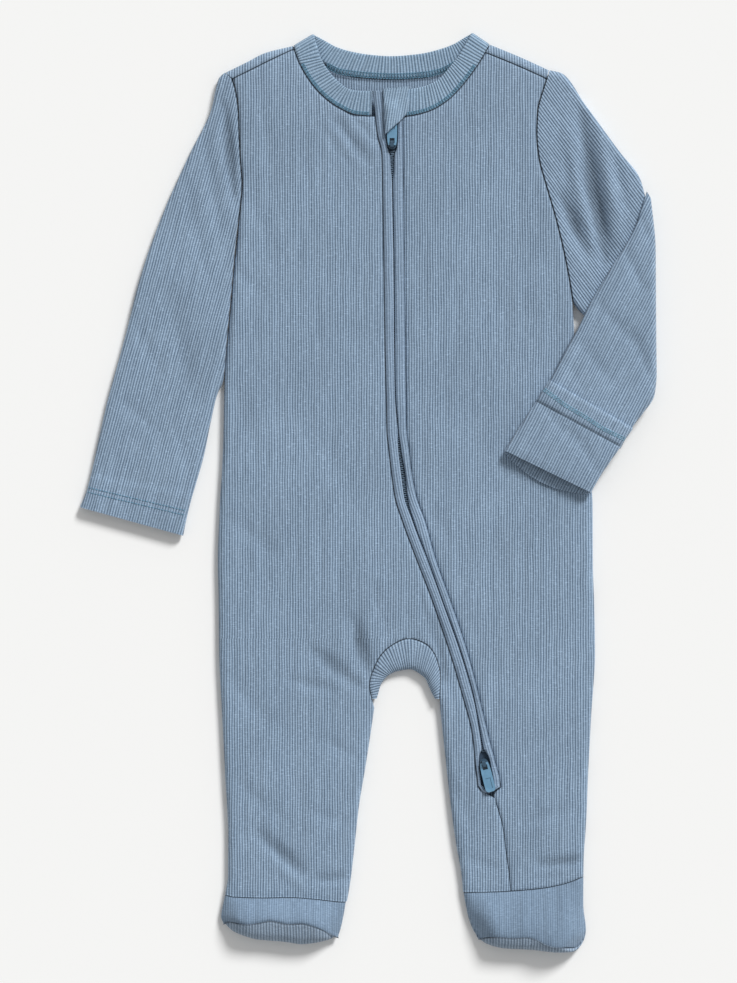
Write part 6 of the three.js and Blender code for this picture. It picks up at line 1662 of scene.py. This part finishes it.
@dataclass
class Neck:
    """Doubled neckband and the guard folded over the zip's top end."""

    room: Workroom
    wall: float = 2.2
    top: float = 7.4
    seam_gap: float = 0.35
    guard_wall: float = 2.0
    guard_rest: float = 8.3
    guard_over_pull: float = 2.0
    pull_x: float = 15.6
    lift_reach: float = 4.2

    def flat_rows(self, table: Table, count: int, up: float) -> list[tuple[Array, Array, Array, Array]]:
        """Stations of the band where it lies flat.

        Args:
            table: Seam and edge points.
            count: Number of stations.
            up: 1 on the front, −1 across the back.

        Returns:
            Outer and inner seam points, then outer and inner edge points, for each station.
        """
        middle = self.top / 2
        z, inner_z = middle + up * middle, middle + up * (middle - self.wall)
        rows = table.path("seam_x", "seam_y", "edge_x", "edge_y")(np.linspace(0, 1, count))
        return [tuple(np.array([*xy, level]) for xy,
                      level in ((row[:2], z), (row[:2], inner_z), (row[2:], z), (row[2:], inner_z)))
                for row in rows]

    def turned_rows(self, side: Side, front: Sequence[float],
                    back: Sequence[float]) -> list[tuple[Array, ...]]:
        """Stations of the band where it turns over at a shoulder.

        Args:
            side: Which shoulder.
            front: Seam and edge points of the nearest flat row on the front.
            back: The same on the back.

        Returns:
            Stations from the front to the back.
        """
        middle, peak = self.top / 2, np.array(BAND_PEAK[side])
        front, back = np.array(front), np.array(back)
        stations = []
        for angle in np.radians(np.arange(84, -85, -8)):
            toward = mix(front, back, (1 - math.sin(angle)) / 2)
            points = []
            for at, to in ((peak[:2], toward[:2]), (peak[2:], toward[2:])):
                unit = (to - at) / np.linalg.norm(to - at)
                reach = ROLL * (1 - math.cos(angle))
                push = reach + self.wall * math.cos(angle)
                points.append(np.array([*(at + unit * reach), middle + middle * math.sin(angle)]))
                points.append(np.array([*(at + unit * push),
                                        middle + (middle - self.wall) * math.sin(angle)]))
            stations.append(tuple(points))
        return stations

    def make_band(self) -> bpy.types.Object:
        """Neckband all the way round, its ribs across it.

        Returns:
            The finished piece.
        """
        left, back, right = BAND_FRONT_LEFT, BAND_BACK, BAND_FRONT_RIGHT
        stations = [
            *self.flat_rows(left, 34, 1), *self.turned_rows(Side.LEFT, left.rows[-1], back.rows[0]),
            *self.flat_rows(back, 52, -1),
            *self.turned_rows(Side.RIGHT, right.rows[0], back.rows[-1])[::-1],
            *self.flat_rows(right, 34, 1),
        ]
        shares = np.array([0, 0.03, 0.08, 0.16, 0.28, 0.42, 0.56, 0.7, 0.82, 0.9, 0.95, 0.98, 1])
        fullness = np.array([0.62, 0.82, 0.95, 1, 1, 1, 1, 1, 1, 0.97, 0.86, 0.66, 0.3])
        outer, inner, cloth, travelled, before = [], [], [], 0.0, None
        for seam, seam_in, edge, edge_in in stations:
            width = np.linalg.norm(edge - seam)
            along = mix(self.seam_gap / width, 1, shares)[:, None]
            out, into = mix(seam, edge, along), mix(seam_in, edge_in, along)
            centre = (out + into) / 2
            outer.append(mix(centre, out, fullness[:, None]))
            inner.append(mix(centre, into, fullness[:, None]))
            middle = (seam + edge) / 2
            travelled += 0.0 if before is None else float(np.linalg.norm(middle - before))
            before = middle
            cloth.append(np.column_stack([np.full(len(shares), travelled), shares * width,
                                          shares * width + 0.15]))
        shell = Shell()
        shell.add(np.stack(outer), np.stack(inner), np.stack(cloth))
        return self.room.hand_over(shell.build("neckband_cloth"), "band_knit", ["neckband"])

    def make_guard(self) -> bpy.types.Object:
        """Chin guard, lying over the top pull and ending in a point.

        Returns:
            The finished piece.
        """
        rows = CHIN_GUARD.path("left_x", "left_y", "right_x", "right_y")(np.linspace(0, 1, 34))
        outer, inner, cloth = [], [], []
        shares = np.array([0, 0.02, 0.06, 0.14, 0.24, 0.34, 0.44, 0.54, 0.64, 0.74, 0.84, 0.9, 0.94,
                           0.975, 1])
        rim = np.array([0.8, 0.35, 0.1, 0, 0, 0, 0, 0, 0, 0, 0, 0.05, 0.15, 0.45, 1.0])
        for left_x, left_y, right_x, right_y in rows:
            x, y = mix(left_x, right_x, shares), mix(left_y, right_y, shares)
            over = ease((self.lift_reach + 1.9 - np.abs(x - self.pull_x)) / 4) * ease((256 - y) / 10)
            z = self.guard_rest + self.guard_over_pull * over
            fold = 0.25 * np.exp(-(((shares - 0.87) / 0.05) ** 2))
            outer.append(np.column_stack([x, y, z + self.guard_wall - 0.8 * rim - fold]))
            inner.append(np.column_stack([x, y, z + 0.25 * rim]))
            bend = 0.19 * (y - 232) - 0.9 * np.sin((y - 232) / 14)
            cloth.append(np.column_stack([x - bend, y, (1 - shares) * (right_x - left_x) + 0.5]))
        shell = Shell()
        shell.add(np.stack(outer), np.stack(inner), np.stack(cloth))
        return self.room.hand_over(shell.build("chin_guard_cloth"), "guard_knit", ["chin_guard"])

    def build(self) -> list[bpy.types.Object]:
        """Make the band and the guard."""
        return [self.make_band(), self.make_guard()]


@dataclass
class ZipClosure:
    """Binding strips, tape and coil of the two-way zip."""

    outline: Outline
    room: Workroom
    wall: float = 1.0
    rise: float = 0.9
    tape_half: float = 6.5
    tape_thick: float = 0.8
    tape_drop: float = 2.25
    coil_half: float = 1.7
    coil_pitch: float = 1.25
    coil_yarn: float = 0.75

    def make_strip(self, side: Side) -> bpy.types.Object:
        """One binding strip beside the zip: a low rounded ridge.

        Args:
            side: Which strip.

        Returns:
            The dressed piece.
        """
        line, left = self.outline, side is Side.LEFT
        outward = -1 if left else 1
        levels = np.linspace(260, -190.2, 210)
        outer_x = (line.left_strip if left else line.right_strip)(levels)
        inner_x = line.zip(levels) + outward * line.zip_gap(levels)
        rows = np.column_stack([outer_x, levels, inner_x, levels])
        ends = (LEFT_STRIP_END if left else RIGHT_STRIP_END).rows
        rows = np.concatenate([rows, Table("outer_x outer_y inner_x inner_y",
                                           (tuple(rows[-1]), *ends)).path(
            "outer_x", "outer_y", "inner_x", "inner_y")(np.linspace(0.12, 1, 12))])
        shares = np.array([0, 0.04, 0.1, 0.18, 0.3, 0.45, 0.6, 0.75, 0.86, 0.93, 0.975, 1])
        rise = self.rise * np.array([-0.45, 0.0, 0.45, 0.75, 0.95, 1.02, 1.0, 0.92, 0.72, 0.42,
                                     0.05, -0.35])
        x = mix(rows[:, :1], rows[:, 2:3], shares)
        y = mix(rows[:, 1:2], rows[:, 3:4], shares)
        swell = 0.1 * np.sin(y / 17 + 2 * outward) + 0.07 * np.sin(y / 7.3)
        z = front_height(x, y) + rise + swell * np.sin(np.pi * shares)
        width = np.abs(rows[:, 2:3] - rows[:, :1])
        reach = width * shares
        shell = Shell()
        # Distance to the seam, for the painted seam shade; the right strip's is pushed away so it gets almost none.
        seam = reach + (0.1 if left else 3.0)
        shell.add(np.dstack([x, y, z]), np.dstack([x, y, z - self.wall]),
                  np.dstack([reach * outward + 0.4, y, seam]))
        name = f"zip_strip_{side.value}"
        return self.room.hand_over(shell.build(name + "_cloth"), "binding_knit", [name])

    def make_tape(self) -> bpy.types.Object:
        """Zip tape under the strips.

        Returns:
            The finished piece.
        """
        y = np.linspace(256, -190.5, 190)
        x = self.outline.zip(y)
        offset = np.array([-1, -0.66, -0.33, 0, 0.33, 0.66, 1]) * self.tape_half
        slope = np.gradient(x, y)[:, None]
        length = np.hypot(slope, 1)
        px, py = x[:, None] + offset / length, y[:, None] - offset * slope / length
        top = front_height(px, py) - self.tape_drop
        shell = Shell()
        shell.add(np.dstack([px, py, top]), np.dstack([px, py, top - self.tape_thick]),
                  np.dstack([np.broadcast_to(offset, px.shape), py, np.full(px.shape, 9.0)]))
        return self.room.hand_over(shell.build("zip_tape_cloth"), "zip_tape_weave", ["zip_tape"])

    def make_coil(self) -> bpy.types.Object:
        """Closed coil down the middle of the tape, one turn after another.

        Returns:
            The finished piece.
        """
        threads = Threads()
        for index, y in enumerate(np.arange(-168, 222, self.coil_pitch)):
            x = float(self.outline.zip(y))
            lean = 0.28 if index % 2 else -0.28
            share = np.linspace(-1, 1, 7)
            px, py = x + share * self.coil_half, y + share * lean
            pz = front_height(px, py) - self.tape_drop + 0.2 + 0.75 * np.sqrt(np.maximum(0, 1 - share**2 * 0.9))
            threads.sew(np.column_stack([px, py, pz]), self.coil_yarn, 0.6)
        return self.room.hand_over(threads.build("zip_coil"), "coil_thread")

    def build(self) -> list[bpy.types.Object]:
        """Make the strips, tape and coil, and paint the sliders and pulls.

        Returns:
            The pieces of the zip.
        """
        for end in ("top", "bottom"):
            self.room.repaint(f"slider_{end}", "slider_shade")
            self.room.repaint(f"pull_{end}", "slider_paint")
        return [self.make_strip(Side.LEFT), self.make_strip(Side.RIGHT), self.make_tape(), self.make_coil()]


@dataclass
class Foot:
    """One foot: its upper, and its sole that turns up round the toes."""

    side: Side
    outline: Outline
    room: Workroom
    wall: float = 0.9
    top: float = 16.2
    corner_z: float = 3.9
    sole_roll: float = 9.0
    toe_rounding: float = 17.0
    gap: float = 0.35

    def __post_init__(self) -> None:
        """Turn the foot's tables into curves and spread its columns."""
        sides, across = FOOT_SIDES[self.side], FOOT_ACROSS[self.side]
        self.left, self.right = sides.curve("along", "left"), sides.curve("along", "right")
        self.toe, self.front = across.curve("share", "toe"), across.curve("share", "front")
        self.width = float(self.right(0) - self.left(0))
        close = np.array([0, 0.25, 0.7, 1.3, 2.1, 3.1, 4.2, 5.5])
        self.shares = steps_along(self.width, close, close, 26) / self.width

    def fullness(self, roll: float) -> Array:
        """How far each column has risen from the rounded side, from 0 to 1."""
        reach = np.minimum(1, np.minimum(self.shares, 1 - self.shares) * self.width / roll)
        return np.sqrt(np.maximum(0, 1 - (1 - reach) ** 2))

    def ankle(self) -> Array:
        """Ankle edge of each column."""
        return self.outline.ankle(mix(self.left(0), self.right(0), self.shares)) - self.gap

    def toe_height(self) -> Array:
        """Height of the toe seam at each column."""
        reach = np.minimum(1, np.minimum(self.shares, 1 - self.shares) * self.width / self.toe_rounding)
        return self.corner_z + (self.top - self.corner_z) * np.sin(reach * np.pi / 2)

    def shelled(self, grid: Array, down: bool) -> tuple[Array, Array]:
        """Push a grid in along its normals.

        Args:
            grid: Points of the outside.
            down: Whether the first row's outside faces down, not up.

        Returns:
            Outer and inner points.
        """
        normal = np.cross(np.gradient(grid, axis=1), np.gradient(grid, axis=0))
        normal /= np.maximum(np.linalg.norm(normal, axis=2, keepdims=True), 1e-9)
        middle = grid.shape[1] // 2
        if (normal[1 if down else len(grid) // 2, middle, 2] > 0) == down:
            normal = -normal
        return grid, grid - normal * self.wall

    def add(self, shell: Shell, grid: Array, down: bool, seam_rows: Sequence[int]) -> None:
        """Add a grid to its shell, with ribs from ankle to toe.

        Args:
            shell: Where the cloth goes.
            grid: Points of the outside.
            down: Whether the first row's outside faces down.
            seam_rows: Rows that lie on a seam.
        """
        steps = np.linalg.norm(np.diff(grid, axis=0), axis=2)
        along = np.concatenate([np.zeros((1, grid.shape[1])), np.cumsum(steps, axis=0)])
        seam = np.min([np.abs(along - along[row]) for row in seam_rows], axis=0)
        outer, inner = self.shelled(grid, down)
        shell.add(outer, inner, np.dstack([grid[..., 0], along, seam]))

    def make_upper(self) -> bpy.types.Object:
        """Upper, from the ankle seam to the toe seam.

        Returns:
            The finished piece.
        """
        ankle_z = SEAM_Z + (BODY_TOP - SEAM_Z) * self.fullness(ROLL)
        ankle, toe, toe_z = self.ankle(), self.toe(self.shares), self.toe_height()
        rows = []
        for along in np.concatenate([np.linspace(0, 0.92, 12), [0.96, 0.985, 1.0]]):
            x = mix(self.left(along), self.right(along), self.shares)
            y = mix(ankle, toe, along)
            z = mix(ankle_z, toe_z, math.sin(along * math.pi / 2) ** 0.9)
            dent = 0.25 * np.sin(x / 6.1 + 2.0) * np.sin(np.pi * along) + 0.2 * np.sin(x / 13.7 + 3 * along)
            crease = crease_rise(FOOT_CREASES, x, y)
            edge = np.minimum(1, np.minimum(self.shares, 1 - self.shares) * 10)
            dip = 0.45 * math.exp(-((along * 18 / 1.4) ** 2)) + 0.5 * math.exp(-(((1 - along) * 16 / 1.3) ** 2))
            rows.append(np.column_stack([x, y, z + (dent + crease - dip) * edge]))
        shell = Shell()
        self.add(shell, np.stack(rows), False, (0, -1))
        name = f"foot_{self.side.value}_upper"
        # Darker knit as painted shade, as the upper faces the light.
        return self.room.hand_over(shell.build(name + "_cloth"), "foot_knit_shaded", [name])

    def make_sole(self) -> bpy.types.Object:
        """Sole, flat under the foot and turned up in front of the toes.

        Returns:
            The finished piece.
        """
        toe, toe_z, ankle = self.toe(self.shares) - self.gap, self.toe_height(), self.ankle()
        bulge = np.maximum(toe - self.front(self.shares), 0.3)
        stops = np.array([0, 0.3, 0.5, 0.62, 0.74, 0.87, 1])
        depth = np.stack([ankle, mix(ankle, toe - bulge + 6, 0.6), toe - bulge + 5,
                          toe - bulge + 1.4, toe - bulge,
                          toe - bulge * 0.7, toe])
        height = np.stack([0 * toe_z, 0 * toe_z, 0 * toe_z, toe_z * 0.14, toe_z * 0.42, toe_z * 0.8, toe_z])
        curves = [(smooth(stops, depth[:, i]),
                   smooth(stops, height[:, i])) for i in range(len(self.shares))]
        full = self.fullness(self.sole_roll)
        rows = []
        for along in np.concatenate([np.linspace(0, 0.48, 6), np.linspace(0.53, 0.97, 16), [0.985, 1.0]]):
            deep = np.array([float(curve(along)) for curve, _ in curves])
            high = np.array([float(curve(along)) for _, curve in curves])
            edge_y, edge_z = mix(ankle, toe, along), mix(SEAM_Z - 0.3, self.corner_z - 0.1,
                                                         ease((along - 0.8) / 0.2))
            x = mix(self.left(along), self.right(along), self.shares)
            y, z = mix(edge_y, deep, full), mix(edge_z, high, full)
            wave = 0.3 * np.sin(x / 5.3 + 1.0) * math.sin(math.pi * ease((along - 0.55) / 0.45)) * full
            rows.append(np.column_stack([x, y + wave, z]))
        grid = np.stack(rows)
        if self.side is Side.LEFT:
            grid[-1, :, 2] = toe_z
        shell = Shell()
        self.add(shell, grid, True, (-1,))
        name = f"foot_{self.side.value}_sole"
        return self.room.hand_over(shell.build(name + "_cloth"), "sole_knit", [name])

    def build(self) -> list[bpy.types.Object]:
        """Make both pieces of the foot."""
        return [self.make_upper(), self.make_sole()]


@dataclass
class Stitching:
    """Cover-stitches of the neck, hem and cuff."""

    room: Workroom
    thread: float = 0.46

    def cover(self, threads: Threads, path: Array, width: float, pitch: float, lattice: bool,
              surface: Surface | None = None, level: float = 0.0) -> None:
        """Sew one cover-stitch: two rows of needle stitches, and a looper lattice between them.

        Args:
            threads: Where the threads go.
            path: Middle line of the stitch, x and y.
            width: Distance between the two needle rows.
            pitch: Length of a stitch.
            lattice: Whether the looper thread shows.
            surface: Cloth that it is sewn on, or none for a flat level.
            level: Height of that flat level.
        """
        middle = spaced(path, pitch)
        tangent = np.gradient(middle, axis=0)
        tangent /= np.linalg.norm(tangent, axis=1, keepdims=True)
        side = np.column_stack([-tangent[:, 1], tangent[:, 0]]) * width / 2
        rows = middle + side, middle - side
        pairs = [(row[i], mix(row[i], row[i + 1], 0.8),
                  1.25) for row in rows for i in range(len(middle) - 1)]
        if lattice:
            pairs += [(a[i], b[i + 1], 0.8) for a, b in (rows, rows[::-1]) for i in range(len(middle) - 1)]
        for start, end, thick in pairs:
            share = np.linspace(0, 1, 5)[:, None]
            line = mix(start, end, share)
            over = 0.24 * np.sin(np.pi * share[:, 0]) - 0.04
            flat = surface.lift(line, 0.0) if surface else np.column_stack([line, np.full(5, level)])
            flat[:, 2] += over
            threads.sew(flat, self.thread * thick)

    def build(self, cloth: dict[str, bpy.types.Object]) -> list[bpy.types.Object]:
        """Sew every stitch that shows.

        Args:
            cloth: Finished pieces by name.

        Returns:
            The threads, by colour.
        """
        band = Surface([cloth["neckband_cloth"]])
        teal, pale = Threads(), Threads()
        across_back = smooth((-27, -18.2, -8.5, 4.6, 17.6, 27.3, 38.7, 48.5, 58),
                             (276.6, 272.5, 271.05, 269.9, 269.4, 269.8, 270.8, 273.3, 278.4))
        x = np.linspace(-27, 57, 60)
        self.cover(teal, np.column_stack([x, across_back(x) + 0.5]), 3.3, 1.9, True, level=2.35)
        for table in (BAND_FRONT_LEFT, BAND_FRONT_RIGHT):
            rows = table.path("seam_x", "seam_y", "edge_x", "edge_y")(np.linspace(0, 1, 40))
            inward = (rows[:, 2:] - rows[:, :2]) / np.linalg.norm(rows[:, 2:] - rows[:, :2], axis=1,
                                                                  keepdims=True)
            self.cover(teal, (rows[:, :2] + inward * 1.75)[1:-1], 1.5, 1.7, True, surface=band)
        hem = np.column_stack([np.linspace(-181.4, -118.6, 30), np.linspace(1.4, -13.5, 30)])
        self.cover(teal, hem, 3.0, 2.2, False, surface=Surface([cloth["sleeve_left_cloth"]]))
        cuff = np.array([(113.6, 66.3), (126.9, 56.2), (139.2, 49.1), (151.5, 40.9), (166.2, 33.9)])
        self.cover(pale, cuff, 2.0, 2.0, True, surface=Surface([cloth["sleeve_right_cloth"]]))
        return [self.room.hand_over(teal.build("teal_stitches"), "teal_thread"),
                self.room.hand_over(pale.build("pale_stitches"), "pale_thread")]


@dataclass(frozen=True)
class CutPiece:
    """Flat size of one cut piece, in millimetres, and what it lies on."""

    name: str
    width: float
    length: float
    area: float
    held: str
    rests_on: tuple[str, ...]


CUT_PIECES = (
    CutPiece("back_cloth", 246, 556, 113600, "laid", ()),
    CutPiece("front_main_cloth", 190, 552, 57100, "laid", ("back_cloth",)),
    CutPiece("front_side_cloth", 126, 550, 46900, "laid", ("back_cloth",)),
    CutPiece("gusset_cloth", 48, 60, 1790, "folded", ("back_cloth",)),
    CutPiece("sleeve_left_cloth", 196, 292, 32000, "laid", ()),
    CutPiece("sleeve_right_cloth", 210, 330, 40800, "folded", ("front_side_cloth",)),
    CutPiece("neckband_cloth", 18, 300, 3440, "folded", ("back_cloth",)),
    CutPiece("zip_strip_left_cloth", 10, 458, 2630, "laid", ("zip_tape_cloth",)),
    CutPiece("zip_strip_right_cloth", 10, 458, 2330, "laid", ("zip_tape_cloth",)),
    CutPiece("chin_guard_cloth", 17, 31, 353, "folded", ("neckband_cloth",)),
    CutPiece("zip_tape_cloth", 14, 458, 6240, "laid", ("back_cloth",)),
    CutPiece("foot_left_upper_cloth", 80, 22, 1340, "laid", ("foot_left_sole_cloth",)),
    CutPiece("foot_left_sole_cloth", 80, 48, 2960, "folded", ()),
    CutPiece("foot_right_upper_cloth", 80, 42, 2450, "laid", ("foot_right_sole_cloth",)),
    CutPiece("foot_right_sole_cloth", 80, 60, 3470, "folded", ()),
)


@dataclass
class Studio:
    """Pale floor, soft light and the photograph's camera."""

    camera_height: float = 2.2
    image_middle: tuple[float, float] = (0.00026, 0.0007)
    sky: float = 0.45
    sun: float = 3.05
    sun_angle: float = 17.0
    elevation: float = 35.5

    def build(self) -> None:
        """Set up everything around the sleepsuit."""
        self.add_camera()
        self.add_floor()
        self.add_light()

    def add_camera(self) -> None:
        """Camera straight above, framed like the photograph."""
        data = bpy.data.cameras.new("camera")
        data.sensor_fit = "VERTICAL"
        data.sensor_height = 36.0
        data.lens = 36.0 * self.camera_height * 1000 / (IMAGE_HEIGHT_PX * PHOTO_MM_PER_PX)
        camera = bpy.data.objects.new("camera", data)
        camera.location = (*self.image_middle, self.camera_height)
        bpy.context.scene.collection.objects.link(camera)
        bpy.context.scene.camera = camera

    def add_floor(self) -> None:
        """Plain pale floor."""
        mesh = bpy.data.meshes.new("floor")
        mesh.from_pydata([(-3, -3, 0), (3, -3, 0), (3, 3, 0), (-3, 3, 0)], [], [(0, 1, 2, 3)])
        floor = place("floor", mesh)
        made = bpy.data.materials.new("floor_paper")
        made.use_nodes = True
        tree = NodeTree(made.node_tree)
        shader = made.node_tree.nodes["Principled BSDF"]
        grain = tree.noise(tree.node("TexCoord").outputs["Object"], 900.0, 2.0)
        bump = tree.node("Bump", {"Strength": 0.05, "Distance": 0.1 * MM, "Height": grain})
        made.node_tree.links.new(bump.outputs["Normal"], shader.inputs["Normal"])
        shader.inputs["Base Color"].default_value = (0.9, 0.9, 0.89, 1)
        shader.inputs["Roughness"].default_value = 0.9
        shader.inputs["Specular IOR Level"].default_value = 0.1
        floor.data.materials.append(made)

    def add_light(self) -> None:
        """Soft key light from the top and an even pale surround."""
        world = bpy.data.worlds.new("surround")
        world.use_nodes = True
        background = world.node_tree.nodes["Background"]
        background.inputs["Color"].default_value = (1.0, 1.0, 1.0, 1)
        background.inputs["Strength"].default_value = self.sky
        bpy.context.scene.world = world
        data = bpy.data.lights.new("key", "SUN")
        data.energy = self.sun
        data.angle = math.radians(self.sun_angle)
        key = bpy.data.objects.new("key", data)
        flat = math.cos(math.radians(self.elevation))
        toward = Vector((0.54 * flat, 0.842 * flat, math.sin(math.radians(self.elevation))))
        key.rotation_mode = "QUATERNION"
        key.rotation_quaternion = toward.to_track_quat("Z", "Y")
        bpy.context.scene.collection.objects.link(key)
        bpy.context.scene.view_settings.view_transform = "Standard"


def main() -> None:
    """Build the sleepsuit and its studio."""
    logging.basicConfig(level=logging.INFO, format="%(name)s: %(message)s", stream=sys.stdout)
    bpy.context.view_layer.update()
    Studio().build()
    room, outline = Workroom(), Outline()
    pieces = [*Body(outline, room).build(), *Sleeves(outline, room).build(), *Neck(room).build(),
              *ZipClosure(outline, room).build()]
    for side in Side:
        pieces += Foot(side, outline, room).build()
    by_name = {piece.name: piece for piece in pieces}
    pieces += Stitching(room).build(by_name)
    for cut in CUT_PIECES:
        list(cut.rests_on)
    LOG.info("%d pieces, %d faces", len(pieces), sum(len(piece.data.polygons) for piece in pieces))


if __name__ == "__main__":
    main()
